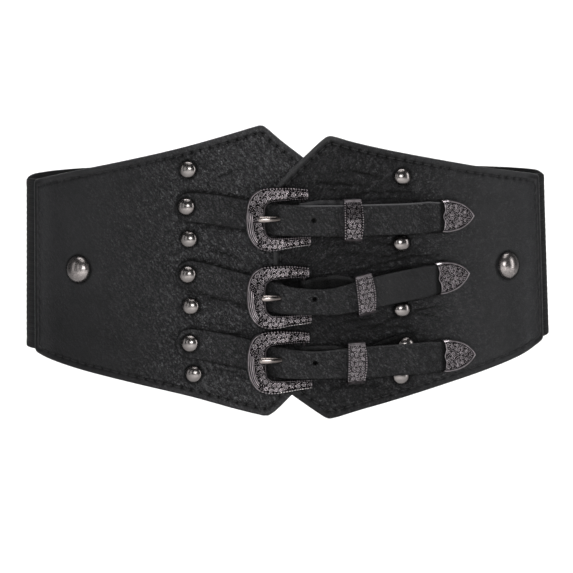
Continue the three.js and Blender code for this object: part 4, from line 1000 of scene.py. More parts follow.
class FramePlan:
    """The shared buckle frame: places and heights, worked out once and set at each bar."""

    def __init__(self):
        fine = np.linspace(0, 1, 1600)
        outer, inner = (np.array([catmull(rows, t) for t in fine])
                        for rows in (FRAME_ROWS[:, :2], FRAME_ROWS[:, 2:]))
        run = run_along((outer + inner) / 2)
        self.length = run[-1]
        self.marks = edge_marks(self.length, self.length / FRAME_STATIONS, FRAME_EDGE)
        at = np.interp(self.marks, run, fine)
        self.outer, self.inner = (np.stack([np.interp(at, fine, line[:, k]) for k in (0, 1)], 1)
                                  for line in (outer, inner))
        self.width = np.hypot(*(self.inner - self.outer).T)
        share = np.linspace(0, 1, FRAME_ACROSS)
        self.share = share - 0.03 * np.sin(2 * np.pi * share)
        self.height, self.polish_and_painted_light = self.relief()

    def wide(self, at):
        """The frame's width at a place along it."""
        return float(np.interp(at, self.marks, self.width))

    def in_bow(self, at):
        """1 on the bow, 0 on the arms."""
        low, high = BOW * self.length
        return smoothstep(at, low - 3, low + 3) * until(at, high - 3, high + 3)

    def relief(self):
        """Height over the frame, and how light it is: carved ground between two rims of beads, with
        painted light and shade.
        """
        along = self.marks[:, None]
        u = np.repeat(along, FRAME_ACROSS, 1)
        w = self.share * self.width[:, None]
        back = self.width[:, None] - w
        end = np.minimum(along, self.length - along)
        bow = self.in_bow(along)
        low, high = RIM_OUT + 0.5 + 0.35 * bow, RIM_IN + 0.45
        fade = smoothstep(w, low - 0.15, low + 0.15) * smoothstep(back, high - 0.15, high + 0.15)
        raised, polish_and_painted_light = carved(u, w, self.scrolls(), fade * smoothstep(end, 0.8, 1.1), 0.8, 5)
        bead = ridge(u, w, self.beads())
        groove = np.maximum(bell(w - low, 0.24), bell(back - high, 0.22))
        scallop = (1 - bow) * (1 - ridge(u, w, self.beads() * [1, 1, 1.15]))
        height = smooth_up(FRAME_SECTION, self.share) + raised + 0.45 * bead - 0.32 * groove
        height -= 0.35 * until(self.width, 5, 8)[:, None]
        height += 0.3 * bow * bell(w - 0.75, 0.42) + 0.12 * bow * bell(w - 1.55, 0.2)
        height -= drop(np.minimum(w, back), 0.5, 0.5) + drop(end, 0.6, 0.9)
        height -= 0.5 * scallop * np.maximum(bell(w, 0.55), 0.7 * bell(back, 0.5))
        polish_and_painted_light = np.clip(polish_and_painted_light - 0.75 * groove * (1 - bead), 0, 1)
        polish_and_painted_light *= 1 - 0.95 * scallop * np.maximum(bell(w, 1.1), bell(back, 0.7))
        # Painted shade along the bow's inner edge.
        polish_and_painted_light *= 1 - 0.55 * bow * bell(back, 0.7)
        polish_and_painted_light = np.maximum(polish_and_painted_light, bead * (1 - 0.35 * (back < 1.6))) * (1 - 0.12 * bow)
        # Painted light and shade on the upper arm: crests lighter and ground darker.
        polish_and_painted_light += 1.2 * until(along, 0.24 * self.length, 0.34 * self.length) * (polish_and_painted_light - 0.86)
        # Painted glints on the lower arm's outer beads.
        lower = smoothstep(along, 0.72 * self.length, 0.8 * self.length)
        return np.clip(height, 0.5, None), np.clip(polish_and_painted_light, 0, 1) + 0.4 * lower * bead * (w < 1.5)

    def scrolls(self):
        """Two lanes of small spirals on the bow, one on the arms, and long lines low on the bow."""
        strokes, side, at = [], 1, 1.9
        line_low, line_high = 0.42 * self.length, 0.655 * self.length
        for inset, thick in LONG_LINES:
            t = np.linspace(line_low + inset, line_high - 0.5 * inset, LONG_LINE_POINTS)
            sway = 0.45 * np.sin(np.pi * (t - line_low) / (line_high - line_low))
            strokes.append(np.stack([t, inset + sway, thick + 0 * t], 1))
        while at < self.length - 1.5:
            room = self.wide(at) - 2.4
            lanes = 1 if room < 5.4 else 2
            radius = min(1.55, 0.36 * room / lanes)
            for lane in range(lanes):
                hand = side if lane else -side
                cu = at + (0.9 if lane else 0)
                cw = 1.25 + room * (lane + 0.5) / lanes + (0.12 * room * side if lanes == 1 else 0)
                if line_low - 1 < cu < line_high + 1 and cw < 4.6:
                    continue
                strokes.append(spiral(cu, cw, radius, 1.6, hand * 1.2, hand, 0.31))
                for turn in (0.2, 1.1, 2.0, 2.9, 3.9):
                    strokes.append(leaf(cu + 1.02 * radius * math.cos(turn * hand),
                                        cw + 1.02 * radius * math.sin(turn * hand),
                                        (turn + 0.5) * hand, 0.62 * radius, 0.27, 0.6 * hand))
            at += 2.05 * radius + 0.35
            side = -side
        grown = filled(strokes, lambda a, b: 1.2 < b < self.wide(a) - 1.1 and 0.9 < a < self.length - 0.9,
                       (0.8, self.length), (1.1, 11.0), 17)
        grown[len(LONG_LINES) * LONG_LINE_POINTS:, 2] *= 0.8
        return grown

    def beads(self):
        """The rim's beads: u, w, half width. The bow's outer rim is plain."""
        outer, inner = (np.arange(first, self.length - 0.4, pitch)
                        for first, pitch in (OUTER_BEADS, INNER_BEADS))
        return np.array([(at, RIM_OUT, 0.56) for at in outer if self.in_bow(at) < 0.5]
                        + [(at, self.wide(at) - RIM_IN, 0.5) for at in inner])


def frame_piece(key, plan):
    """A C-shaped casting: the frame's face and back, and the bar between its arms."""
    bar_s, bar_z, _ = BUCKLES[key]
    span = plan.inner - plan.outer
    back_share = np.linspace(1, 0, 9)
    lip = 0.12 * (1 - np.abs(2 * back_share - 1)) ** 0.5
    top, back = (place(bar_s + plan.outer[:, :1] + span[:, :1] * share,
                       bar_z + plan.outer[:, 1:] + span[:, 1:] * share, FRAME_UNDER + height)
                 for share, height in ((plan.share, plan.height), (back_share, lip[None])))
    angle, rod_z = turns(20), np.linspace(*BAR_REACH, 27)[:, None]
    rod = loft(place(bar_s + BAR_RADIUS * np.cos(angle), bar_z + rod_z,
                     BAR_HEIGHT + BAR_RADIUS * np.sin(angle)), cap="fan")
    body = loft(np.concatenate([top, back], 1), cap="fan")
    # Painted shade on the frame's back and on the bar.
    under = np.full((len(plan.marks), back_share.size), PAINTED_BACK_SHADE)
    polish_and_painted_light = np.concatenate([np.concatenate([plan.polish_and_painted_light, under], 1).ravel(), [END_POLISH] * 2,
                             np.full(len(rod[0]), PAINTED_BACK_SHADE)])
    make(f"buckle_frame_{key}_cast", joined([body, rod]), ENGRAVED,
         [f"buckle_frame_{key}"], {"polish_and_painted_light": polish_and_painted_light})


def squared(wave):
    """A cosine or sine with fuller corners."""
    return np.sign(wave) * np.abs(wave) ** 0.5


def prong_piece(key):
    """A prong that climbs through its hole onto the frame, and its ring round the bar."""
    bar_s, _, prong_z = BUCKLES[key]
    rows = PRONG_PATH[::-1].copy()
    climb = rows[:, 0] < CLIMB_END
    rows[climb, 0] = CLIMB_END + (rows[climb, 0] - CLIMB_END) * PRONG_REACH[key]
    at, n = np.array([catmull(rows[:, :2], t) for t in np.linspace(0, 1, 90)]).T
    tip = np.clip((at - rows[0, 0]) / 1.7, 0, 1)
    size = np.minimum(smooth_up(rows, at, 2),
                      np.sqrt(np.clip(1 - (1 - tip) ** 2, 0.004, 1)) * 1.24 + 0.02)[:, None]
    angle = turns(28)
    rise = size * PRONG_FULLNESS * PRONG_DEPTH / 2 * np.sin(angle)
    lean = np.arctan(np.gradient(n) / np.gradient(at))[:, None]
    shaft = loft(place(bar_s + at[:, None] - rise * np.sin(lean),
                       prong_z + size * PRONG_FULLNESS * PRONG_WIDTH / 2 * np.cos(angle),
                       n[:, None] + rise * np.cos(lean)), cap="fan")
    section, round_bar = turns(16), turns(40)[:, None]
    radius = BAR_RADIUS + GAP + LOOP_WALL / 2 * (1 + squared(np.cos(section)))
    eye = loft(place(bar_s + radius * np.cos(round_bar),
                     prong_z + PRONG_WIDTH / 2 * squared(np.sin(section)),
                     BAR_HEIGHT + radius * np.sin(round_bar)), closed=True)
    # Painted shade: the rod darker from its middle down to the hole, and its ring round the bar darker
    # too.
    painted_shade_scale = np.repeat(1 - 0.62 * smoothstep(at, -20.5, -17.5), angle.size)
    make(f"prong_{key}_rod", joined([shaft, eye]), PRONG, [f"prong_{key}"],
         {"painted_shade_scale": np.concatenate([painted_shade_scale, [1, 1], np.full(len(eye[0]), 0.4)])})


# Loops and strap ends

KEEPER_LANES, KEEPER_COLUMNS = (-8.9, -6.2, -3.4, -0.6, 2.2, 5.0, 7.8), (-2.3, 0.5, 3.1)
KEEPER_BEADS = np.arange(-11.2, 11.3, 1.4)
BEAD_HALF, BEAD_INSET = 0.5, 0.5
TIP_SPIRALS = [
    (3.6, 6.2, 1.25, 0.4), (3.9, 2.9, 1.25, 2.2), (6.6, 5.1, 1.25, 1.2), (6.6, 1.5, 1.2, 3.0),
    (9.4, 3.4, 1.25, 0.2), (9.8, 6.0, 0.9, 1.6), (12.2, 1.4, 1.1, 2.0), (12.6, 4.2, 1.0, 0.6),
    (15.2, 2.2, 0.9, 1.0)]


def keeper_path():
    """Round the loop's section: v, n, outward v, outward n, and how much carving it takes."""
    side = KEEPER_HEIGHT / 2 - KEEPER_CORNER
    low, high = ON_PANEL + KEEPER_CORNER, KEEPER_TOP - KEEPER_CORNER
    parts = [[(v, high, 0, 1, 1) for v in np.linspace(-side, side, 84)[1:-1]]]
    for v, n, start, stop, count in ((side, high, 90, 0, 9), (side, low, 0, -90, 7),
                                     (-side, low, -90, -180, 7), (-side, high, 180, 90, 9)):
        parts.append([(v, n, math.cos(a), math.sin(a), 0)
                      for a in np.radians(np.linspace(start, stop, count))])
    return np.vstack(parts)


def keeper_carving(half, right):
    """The loop's strokes and its two rows of beads."""
    strokes, beads, side = [], [], 1
    for cv in KEEPER_LANES:
        for column in KEEPER_COLUMNS:
            cu = 0.5 * side + column
            strokes.append(spiral(cu, cv, 1.05, 1.3, side * 1.57 + cu, side, 0.25))
        side = -side
    for cv in KEEPER_BEADS:
        beads += [(-half + BEAD_INSET, cv, BEAD_HALF), (right(cv) - BEAD_INSET, cv, BEAD_HALF)]
    return (filled(strokes, lambda a, b: abs(a) < 4.9, (-4.5, 5.2), (-11.2, 10.8), 23),
            np.array(beads))


def keeper_piece(key):
    """A metal loop round both straps: carved in front, bulged at its right side, plain behind."""
    s, z, lean, long, hang, skew = KEEPERS[key]
    half, height = long / 2, KEEPER_HEIGHT / 2
    v, n, cos, sin, face = (part[:, None] for part in keeper_path().T)

    def right(at):
        """The right side's place, which bulges most in the middle."""
        return half * (1 + KEEPER_BULGE * (1 - (at / height) ** 2))

    width = half + np.where(sin > 0, right(v), half)
    u, inner_u = (-half + share * width for share in (np.linspace(0, 1, 46), np.linspace(1, 0, 8)))
    edge = np.minimum(u + half, width - (u + half))
    v2 = v + 0 * u
    front = np.clip(sin, 0, 1)
    strokes, beads = keeper_carving(half, right)
    flat = face * smoothstep(edge, 1.0, 1.25) * until(v2, 10.1, 10.3)
    raised, polish_and_painted_light = carved(u, v2, strokes, flat, 0.66, 9)
    bead = ridge(u, v2, beads) * front
    groove = bell(edge - 1.02, 0.2) * face
    out = KEEPER_CORNER + raised + 0.3 * bead - 0.2 * groove - drop(edge, 0.45, 0.4)
    out += KEEPER_BOW * (1 - (v2 / height) ** 2) * front
    all_u = np.concatenate([u, inner_u], 1)
    all_out = np.concatenate([out, KEEPER_CORNER - KEEPER_WALL + 0 * inner_u], 1)
    up = v + all_out * cos
    local = np.stack([all_u, up - hang * smoothstep(-up, 0, height) + skew * all_u,
                      n + all_out * sin], -1)
    polish_and_painted_light = polish_and_painted_light * (1 - 0.85 * until(edge, 0.95, 1.15) * face)
    polish_and_painted_light = 0.85 * np.clip(np.maximum(polish_and_painted_light - 0.7 * groove, bead), 0, 1)
    # Painted shade over the top loop's upper half.
    if key == "top":
        polish_and_painted_light = polish_and_painted_light * (1 - 0.38 * smoothstep(v2, -1.5, 2.0) * (1 - bead))
    else:
        polish_and_painted_light = 0.2 + 0.68 * polish_and_painted_light
    # Painted light and shade off the carved front: the upper side lighter than the lower, and the inner
    # face dark.
    polish_and_painted_light = np.where(face > 0, polish_and_painted_light, np.where(v2 < 0, 0.22, 0.5))
    polish_and_painted_light = np.concatenate([polish_and_painted_light, np.full(inner_u.shape, 0.15)], 1)
    make(f"keeper_{key}_loop", loft(stood(local, stand_at(s, z, 0, lean)), closed=True), ENGRAVED,
         [f"keeper_{key}"], {"polish_and_painted_light": polish_and_painted_light})


def tip_strokes():
    """Spirals with leaves round them, the same above and below the middle line."""
    strokes = []
    for side in (-1, 1):
        for u, w, radius, start in TIP_SPIRALS:
            strokes.append(spiral(u, side * w, radius, 1.4, side * start, side, 0.25))
            for turn in (0.4, 1.6, 2.8, 4.2):
                strokes.append(leaf(u + 1.05 * radius * math.cos(turn),
                                    side * (w + 1.05 * radius * math.sin(turn)),
                                    side * (turn + 0.5), 0.6 * radius, 0.23, 0.5 * side))
    return filled(strokes, lambda a, b: True, (1.4, 20.0), (-8.6, 8.7), 29)


def tip_pocket(stand):
    """The room for the strap's end, from outside the mouth inward."""
    bend = STRAP_WIDTH / 2 - STRAP_END_NARROWING + POCKET_ROOM - np.array([0.9, 0.35, 0])
    v = np.concatenate([-bend[::-1], bend, bend[::-1], -bend])
    high = POCKET_FOOT + STRAP_THICKNESS + POCKET_ROOM - np.array([0, 0.45, 1.1])
    n = np.concatenate([high[::-1], high, np.full(6, POCKET_FOOT - POCKET_ROOM)])
    return loft(np.stack([stood(np.stack([at + 0 * v, v, n], 1), stand)
                          for at in (-3, POCKET_DEPTH)]))


def tip_piece(key):
    """A shield-shaped cast end with a braced mouth, carved inside a double rim."""
    s, z, lean = TIPS[key]
    share, run = np.meshgrid(edge_marks(2, 0.0225, [0, 0.008, 0.025, 0.05]) - 1,
                             edge_marks(1, 0.0105, [0, 0.004, 0.012, 0.024]))
    u = smooth_up(TIP_BRACE, share) * (1 - run) + run * TIP_LENGTH
    v = share * smooth_up(TIP_SIDES, run) * TIP_HALF_WIDTH
    rim = [np.stack([u[part], v[part]], 1)
           for part in ((slice(None), -1), (-1, slice(-2, None, -1)), (slice(-2, None, -1), 0))]
    d = distance_to(np.vstack([rim[0][:1] - [12, 0], *rim, rim[2][-1:] - [12, 0]]), u, v)
    mouth = run * TIP_LENGTH
    corner = until(u, 4.4, 5.6) * smoothstep(v, 6.0, 7.0)
    bevel = corner * until(d, 1.35, 1.5)
    groove = bell(d - 1.36, 0.22) * (1 - bevel)
    raised, polish_and_painted_light = carved(u, v, tip_strokes(), smoothstep(d, 1.45, 1.7) * smoothstep(mouth, 0.4, 0.7),
                            0.66, 13)
    height = TIP_THICKNESS * (0.97 - 0.22 * share**2) - 0.55 * smoothstep(run, 0.55, 1.0) - 0.1
    height += raised + 0.2 * bell(d - 0.72, 0.42) * (1 - bevel) - 0.26 * groove
    height -= drop(d, 0.45, 0.9) + drop(mouth, 0.4, 0.6) + 0.9 * corner * np.clip(1.45 - d, 0, 1.45)
    local = doubled(*(np.stack([u, v, ON_PANEL + up], -1) for up in (np.clip(height, 0.7, None), 0 * u)))
    # Painted shade in a dark line round the outline and on the underside, and a painted highlight on the
    # bevelled corner.
    polish_and_painted_light = 0.1 + 0.7 * polish_and_painted_light - 0.3 * until(d, 0.2, 0.6)
    polish_and_painted_light = np.maximum(np.clip(polish_and_painted_light - 0.6 * groove, 0, 1), bevel)
    polish_and_painted_light = np.concatenate([polish_and_painted_light, np.full(u.shape, 0.1)], 1)
    stand = stand_at(s, z, 0, lean)
    piece = make(f"strap_tip_{key}_cast", loft(stood(local, stand)), ENGRAVED,
                 [f"strap_tip_{key}"], {"polish_and_painted_light": polish_and_painted_light})
    cut(piece, tip_pocket(stand))


# Domes

FLANGE_FOOT, FLANGE_TOP, DOME_FOOT = -0.32, 0.16, 0.3


def dome_piece(name, node, s, z, foot, radius, height, narrow=1.0):
    """A polished dome on a thin flange, lathed smooth."""
    share = np.sin(np.linspace(np.pi / 2, 0.02, 24))
    r = np.concatenate([[0.9 * radius, radius, radius], 0.985 * radius * share])[:, None]
    n = np.concatenate([[FLANGE_FOOT, FLANGE_FOOT, FLANGE_TOP],
                        DOME_FOOT + (height - DOME_FOOT) * (1 - share**2) ** 0.6])[:, None]
    angle = turns(56)
    local = np.stack([narrow * r * np.cos(angle), r * np.sin(angle), n + 0 * angle], -1)
    make(name, loft(stood(local, stand_at(s, z, foot)), cap="fan"), STUD if narrow == 1 else CAP,
         [node])


# Materials


class Finish:
    """A material being built, with short names for the nodes that it uses."""

    def __init__(self, name):
        self.material = bpy.data.materials.new(name)
        self.material.use_nodes = True
        self.tree = self.material.node_tree
        self.tree.nodes.clear()
        self.shader = self.node("BsdfPrincipled")
        self.node("OutputMaterial", {"Surface": self.shader.outputs["BSDF"]})
        self.where = self.node("TexCoord").outputs["Object"]

    def feed(self, made, inputs):
        """Links a node's sockets to others, or sets their values."""
        for key, value in inputs.items():
            if isinstance(value, bpy.types.NodeSocket):
                self.tree.links.new(value, made.inputs[key])
            else:
                made.inputs[key].default_value = value

    def node(self, kind, inputs=None, **settings):
        """A new node with its inputs and settings."""
        made = self.tree.nodes.new("ShaderNode" + kind)
        for key, value in settings.items():
            setattr(made, key, value)
        self.feed(made, inputs or {})
        return made

    def math(self, operation, a, b=0.0, clamp=False):
        """One step of arithmetic, held between 0 and 1 if asked."""
        return self.node("Math", {0: a, 1: b}, operation=operation, use_clamp=clamp).outputs[0]

    def times(self, a, b, clamp=False):
        return self.math("MULTIPLY", a, b, clamp)

    def plus(self, a, b, clamp=False):
        return self.math("ADD", a, b, clamp)

    def minus(self, a, b, clamp=False):
        return self.math("SUBTRACT", a, b, clamp)

    def noise(self, scale, detail, where=None, output="Fac", **more):
        """Cloudy noise over the piece, or over other places."""
        where = self.where if where is None else where
        return self.node("TexNoise", {"Vector": where, "Scale": scale, "Detail": detail,
                                      **more}).outputs[output]

    def value(self, name):
        """A value that the piece holds at its points."""
        return self.node("Attribute", attribute_name=name).outputs["Fac"]

    def span(self, value, a, b, c, d):
        """The value, taken from the range a to b into c to d."""
        return self.node("MapRange", {"Value": value, "From Min": a, "From Max": b,
                                      "To Min": c, "To Max": d}).outputs["Result"]

    def crossing(self, value, level, width):
        """Thin lines: 1 where the value crosses the level, 0 beyond the width."""
        return self.span(self.math("ABSOLUTE", self.minus(value, level)), 0.0, width, 1.0, 0.0)

    def mixed(self, share, under, over, blend="MIX"):
        """The over colour laid on the under colour by its share."""
        return self.node("MixRGB", {"Fac": share, "Color1": under, "Color2": over},
                         blend_type=blend).outputs["Color"]

    def scaled(self, colour, share):
        """The colour made lighter or darker."""
        return self.node("VectorMath", {0: colour, "Scale": share}, operation="SCALE").outputs[0]

    def ramp(self, value, *stops):
        """Colours between stops of position and colour."""
        made = self.node("ValToRGB", {"Fac": value})
        elements = made.color_ramp.elements
        while len(elements) > 1:
            elements.remove(elements[-1])
        elements[0].position, elements[0].color = stops[0][0], (*stops[0][1], 1)
        for position, colour in stops[1:]:
            elements.new(position).color = (*colour, 1)
        return made.outputs["Color"]

    def done(self, colour, rough, height=None, depth=0.0, strength=1.0, **more):
        """The finished material, with a bump of that depth in metres."""
        inputs = {"Base Color": colour, "Roughness": rough}
        if height is not None:
            inputs["Normal"] = self.node("Bump", {"Strength": strength, "Distance": depth,
                                                  "Height": height}).outputs["Normal"]
        self.feed(self.shader, inputs)
        self.feed(self.shader, {key.replace("_", " "): value for key, value in more.items()})
        return self.material


# The grey of the painted highlights, the black of the painted shade, and the white of painted glints on
# metal.
HIGHLIGHT_GREY, SHADED = (0.17, 0.17, 0.175, 1), (0.001, 0.001, 0.001, 1)
GLINT_WHITE = (0.97, 0.94, 0.93, 1)
PEBBLE_BEND = 1.32
CORD_PITCH, CROSSINGS = 0.00135, 640.0


def leather(name, deep, plain, bright, cell, rough, depth):
    """Black coated leather: pebbles with painted glints on their tops, drawn wrinkles, painted light and
    shade, and painted highlights on edges and strokes.
    """
    f = Finish(name)
    grain, reach, turn, painted_lighting, rim, painted_shade = (
        f.value(key) for key in ("grain", "reach", "turn", "painted_lighting", "rim", "painted_shade"))
    pushed = f.mixed(PEBBLE_BEND / cell, f.where, f.noise(300.0, 2.0, output="Color"), "ADD")
    pebble = f.node("TexVoronoi", {"Vector": pushed, "Scale": cell},
                    feature="DISTANCE_TO_EDGE").outputs["Distance"]
    rounded = f.span(pebble, 0.0, 0.3, 0.0, 1.0)
    mottle, patches, grit = f.noise(60.0, 3.0), f.noise(150.0, 2.0), f.noise(1900.0, 2.0)
    flecks = f.node("TexVoronoi", {"Vector": pushed, "Scale": 700.0}, feature="F1").outputs
    chance = f.node("SeparateXYZ", {"Vector": flecks["Color"]}).outputs["X"]
    vein = f.crossing(f.noise(420.0, 2.0, pushed, Roughness=0.6, Distortion=0.5), 0.52, 0.05)
    flow = f.node("CombineXYZ", {"X": f.times(reach, 0.3), "Y": f.times(turn, 0.75)}).outputs[0]
    drawn = f.noise(1.0, 3.0, flow, Roughness=0.62, Distortion=0.7)
    stroke, wrinkle = f.span(drawn, 0.38, 0.62, 0.0, 1.0), f.crossing(drawn, 0.5, 0.06)
    relief = f.minus(f.times(rounded, 0.6), f.times(wrinkle, 0.4))
    relief = f.times(f.plus(relief, f.times(stroke, 0.4)), grain)
    relief = f.plus(relief, f.times(grit, 0.12))
    smooth = f.ramp(mottle, (0.3, [0.85 * c for c in plain]), (0.7, [1.15 * c for c in plain]))
    tone = f.plus(f.times(rounded, 0.5), f.times(stroke, 0.7))
    tone = f.minus(tone, f.times(wrinkle, 0.2), True)
    grained = f.ramp(tone, (0.0, deep), (0.5, plain), (1.0, [2.3 * c for c in plain]))
    # Painted glints: light specks and vein lines on the pebbles, in the bright colour, strongest where the
    # grain shows.
    painted_glint = f.plus(f.times(f.span(flecks["Distance"], 0.16, 0.42, 1.0, 0.0),
                           f.span(chance, 0.25, 1.0, 0.0, 1.0)),
                   f.times(vein, f.span(chance, 0.0, 0.8, 0.7, 0.1)))
    painted_glint = f.times(f.times(painted_glint, f.span(patches, 0.3, 0.65, 0.25, 1.0)), tone)
    colour = f.mixed(f.times(painted_glint, grain, True), f.mixed(grain, smooth, grained), (*bright, 1))
    # Painted light and shade scale the colour, painted highlights turn it grey, and painted shade turns it
    # black.
    colour = f.mixed(rim, f.scaled(colour, painted_lighting), HIGHLIGHT_GREY)
    colour = f.mixed(f.times(painted_shade, 0.95, True), colour, SHADED)
    gloss = f.minus(f.span(mottle, 0.3, 0.7, rough + 0.06, rough - 0.04), f.times(rounded, 0.06))
    gloss = f.plus(gloss, f.times(painted_shade, 0.4), True)
    return f.done(colour, gloss, relief, depth, Specular_IOR_Level=0.13)


def engraved_metal(name):
    """Gunmetal casting: dark in the hollows, worn bright on the crests, with painted light, shade and
    glints from the piece's values.
    """
    f = Finish(name)
    polish_and_painted_light = f.value("polish_and_painted_light")
    cloud, fine = f.noise(420.0, 4.0), f.noise(2400.0, 2.0)
    shade = f.plus(polish_and_painted_light, f.times(f.minus(cloud, 0.5), 0.5), True)
    colour = f.ramp(shade, (0.0, (0.008, 0.007, 0.0075)), (0.35, (0.055, 0.0495, 0.0525)),
                    (0.7, (0.26, 0.237, 0.249)), (1.0, (0.66, 0.605, 0.63)))
    # Painted glints where the value runs past 1.
    colour = f.mixed(f.span(polish_and_painted_light, 1.0, 1.3, 0.0, 1.0), colour, GLINT_WHITE)
    return f.done(colour, f.span(shade, 0.1, 0.95, 0.6, 0.26), fine, 0.00008, 0.7, Metallic=1.0)


def polished_metal(name, dark, light, rough, with_painted_shade=False):
    """Smooth plated metal with a faint haze and fine rubbing marks, and painted shade from the piece's
    values if asked.
    """
    f = Finish(name)
    haze, marks = f.noise(160.0, 4.0), f.noise(1900.0, 3.0)
    colour = f.ramp(haze, (0.3, dark), (0.7, light))
    if with_painted_shade:
        colour = f.scaled(colour, f.value("painted_shade_scale"))
    return f.done(colour, f.span(marks, 0.3, 0.7, rough - 0.04, rough + 0.06), marks, 0.00004, 0.25,
                  Metallic=1.0)


def webbing(name):
    """Woven elastic: fine cords along the band with short crossing threads."""
    f = Finish(name)
    split = f.node("SeparateXYZ", {"Vector": f.where}).outputs
    cords = f.math("SINE", f.times(split["Z"], 2 * math.pi / CORD_PITCH))
    cross = f.math("SINE", f.times(f.math("ARCTAN2", split["Y"], split["X"]), CROSSINGS))
    woven = f.plus(f.times(cords, 0.5), f.times(f.times(cross, cords), 0.3))
    height = f.plus(woven, f.noise(1500.0, 3.0))
    cloth = f.plus(height, f.times(f.value("rib"), 1.3))
    colour = f.ramp(f.span(cloth, -0.4, 2.6, 0, 1), (0.0, (0.004, 0.004, 0.0043)),
                    (1.0, (0.021, 0.021, 0.0215)))
    # The colour takes the painted shade beside the panels' ends.
    return f.done(f.scaled(colour, f.value("painted_shade_scale")), 0.85, height, 0.00016, 0.9,
                  Specular_IOR_Level=0.2)


def thread_material(name):
    """Dark twisted thread."""
    f = Finish(name)
    twist = f.noise(2600.0, 2.0)
    colour = f.ramp(twist, (0.3, (0.003, 0.003, 0.0035)), (0.7, (0.012, 0.012, 0.013)))
    return f.done(colour, 0.6, twist, 0.0001, 0.6)


LEATHER = leather("panel_leather", (0.003, 0.003, 0.0033), (0.0205, 0.0205, 0.0216),
                  (0.2, 0.2, 0.207), 560.0, 0.4, 0.0008)
STRAP = leather("strap_leather", (0.004, 0.004, 0.0043), (0.0175, 0.0175, 0.0185),
                (0.17, 0.17, 0.176), 640.0, 0.4, 0.0005)
ELASTIC = webbing("woven_elastic")
THREAD = thread_material("stitching_thread")
ENGRAVED = engraved_metal("engraved_gunmetal")
STUD = polished_metal("polished_gunmetal", (0.19, 0.176, 0.171), (0.25, 0.232, 0.225), 0.22)
CAP = polished_metal("brushed_gunmetal", (0.24, 0.22, 0.215), (0.31, 0.285, 0.278), 0.27)
PRONG = polished_metal("bright_prong_steel", (0.27, 0.238, 0.225), (0.36, 0.32, 0.304), 0.2, True)


# The belt

for panel in (Panel("left", LEFT_TOP, LEFT_BOTTOM, LEFT_DENTS, LEFT_CREASES, flat_layer, 31),
              Panel("right", RIGHT_TOP, RIGHT_BOTTOM, RIGHT_DENTS, RIGHT_CREASES, overlap_layer, 47)):
    panel_piece(panel)
    thread_piece(panel)
elastic_piece()
for number, strap in enumerate(BUCKLES):
    billet_piece(strap, 60 + 4 * number)
    chape_piece(strap, 80 + 4 * number)
frame_plan = FramePlan()
for strap in BUCKLES:
    frame_piece(strap, frame_plan)
    prong_piece(strap)
    keeper_piece(strap)
    tip_piece(strap)
for side, studs in (("left", LEFT_STUDS), ("right", RIGHT_STUDS)):
    for number, (s, z, foot) in enumerate(studs, 1):
        dome_piece(f"dome_{side}_{number}", f"stud_{side}_{number}", s, z, foot, STUD_RADIUS,
                   STUD_HEIGHT)
for side, (s, z, narrow) in SIDE_CAPS.items():
    dome_piece(f"large_dome_{side}", f"side_cap_{side}", s, z, ON_PANEL, CAP_RADIUS, CAP_HEIGHT,
               narrow)


# The studio, in metres

FLOOR_Z, FRONT_Y, BACK_Y, FLOOR_BEND, WALL_TOP = -0.55, -6.0, 2.6, 1.2, 4.5
BELT, WHITE = (0, 0, 0), (1, 1, 1)
# Lights: name, place, target, width, height, power, colour, spread in degrees.
LIGHTS = [
    ("key", (0.1, -2.5, 0.42), BELT, 0.9, 0.6, 20, WHITE, 180),
    ("overhead", (0.0, -0.2, 1.7), BELT, 1.6, 0.3, 9, WHITE, 180),
    ("above_behind", (0.0, 0.9, 1.5), BELT, 1.8, 0.6, 10, WHITE, 180),
    ("floor_light", (0.0, -2.2, 2.2), (0, -2.2, -0.55), 3.4, 2.2, 55, (1.0, 0.985, 0.97), 70),
    ("left_side", (-1.9, -0.7, 0.3), BELT, 0.5, 1.6, 3, WHITE, 180),
    ("right_side", (1.9, -0.7, 0.3), BELT, 0.5, 1.6, 10, WHITE, 180),
    ("left_front", (-1.5, -1.9, 0.4), BELT, 0.5, 1.2, 3, WHITE, 180),
    ("backdrop_wash_1", (-1.6, 0.7, 1.6), (-0.8, 2.4, 0.2), 1.0, 1.0, 14, WHITE, 90),
    ("backdrop_wash_3", (1.6, 0.7, 1.6), (0.8, 2.4, 0.2), 1.0, 1.0, 14, WHITE, 90)]
ELEVATION, ROLL, DISTANCE = math.radians(5.8), math.radians(0.9), 2.3
TARGET = Vector((-0.00025, 0, -0.0175))
SENSOR, LENS = 36, 237.7
SKY, SKY_STRENGTH = (0.95, 0.96, 1.0, 1), 0.06


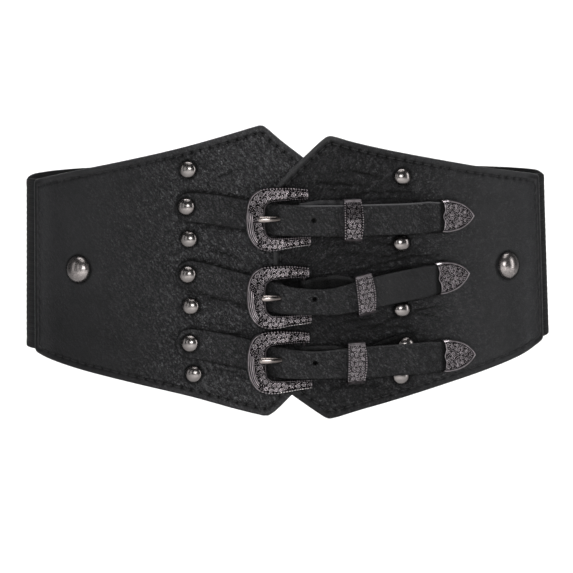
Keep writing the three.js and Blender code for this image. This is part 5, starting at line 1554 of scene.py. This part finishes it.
def backdrop():
    """A pale floor that curves up behind the belt."""
    f = Finish("pale_paper")
    paper = f.ramp(f.noise(3.0, 2.0), (0.2, (0.93, 0.93, 0.93)), (0.8, (0.96, 0.96, 0.96)))
    material = f.done(paper, 0.9, Specular_IOR_Level=0.1)
    a = np.radians(np.linspace(0, 90, 19))[1:]
    y = np.concatenate([np.linspace(FRONT_Y, BACK_Y - FLOOR_BEND, 12),
                        BACK_Y - FLOOR_BEND + FLOOR_BEND * np.sin(a), [BACK_Y, BACK_Y]])
    z = np.concatenate([np.full(12, FLOOR_Z), FLOOR_Z + FLOOR_BEND * (1 - np.cos(a)),
                        [FLOOR_Z + 2.2, WALL_TOP]])
    x = np.linspace(-5, 5, 11)
    points = np.stack(np.broadcast_arrays(x, y[:, None], z[:, None]), -1).reshape(-1, 3)
    index = np.arange(len(points)).reshape(len(y), len(x))
    quads = np.stack([index[:-1, :-1], index[:-1, 1:], index[1:, 1:], index[1:, :-1]], -1)
    floor = add_mesh("floor", points, [quads.reshape(-1, 4)])
    floor.data.materials.append(material)


def softbox(name, at, target, width, height, power, colour, spread):
    """A rectangular light that looks at its target."""
    light = bpy.data.lights.new(name, "AREA")
    light.shape, light.size, light.size_y = "RECTANGLE", width, height
    light.energy, light.color, light.spread = power, colour, math.radians(spread)
    made = bpy.data.objects.new(name, light)
    made.location = at
    made.rotation_euler = (Vector(target) - Vector(at)).to_track_quat("-Z", "Y").to_euler()
    bpy.context.scene.collection.objects.link(made)


def stand_camera():
    """The camera stands a little above the belt and a hair tilted."""
    forward = Vector((0, math.cos(ELEVATION), -math.sin(ELEVATION)))
    level_up = Vector((0, math.sin(ELEVATION), math.cos(ELEVATION)))
    right = math.cos(ROLL) * Vector((1, 0, 0)) - math.sin(ROLL) * level_up
    up = math.sin(ROLL) * Vector((1, 0, 0)) + math.cos(ROLL) * level_up
    data = bpy.data.cameras.new("camera")
    data.sensor_width, data.lens, data.clip_start, data.clip_end = SENSOR, LENS, 0.1, 30
    camera = bpy.data.objects.new("camera", data)
    camera.matrix_world = (Matrix.Translation(TARGET - DISTANCE * forward)
                           @ Matrix((right, up, -forward)).transposed().to_4x4())
    bpy.context.scene.collection.objects.link(camera)
    bpy.context.scene.camera = camera


backdrop()
for row in LIGHTS:
    softbox(*row)
stand_camera()
world = bpy.data.worlds.new("studio")
bpy.context.scene.world = world
world.use_nodes = True
background = world.node_tree.nodes["Background"]
background.inputs["Color"].default_value = SKY
background.inputs["Strength"].default_value = SKY_STRENGTH
bpy.context.scene.view_settings.view_transform = "Standard"
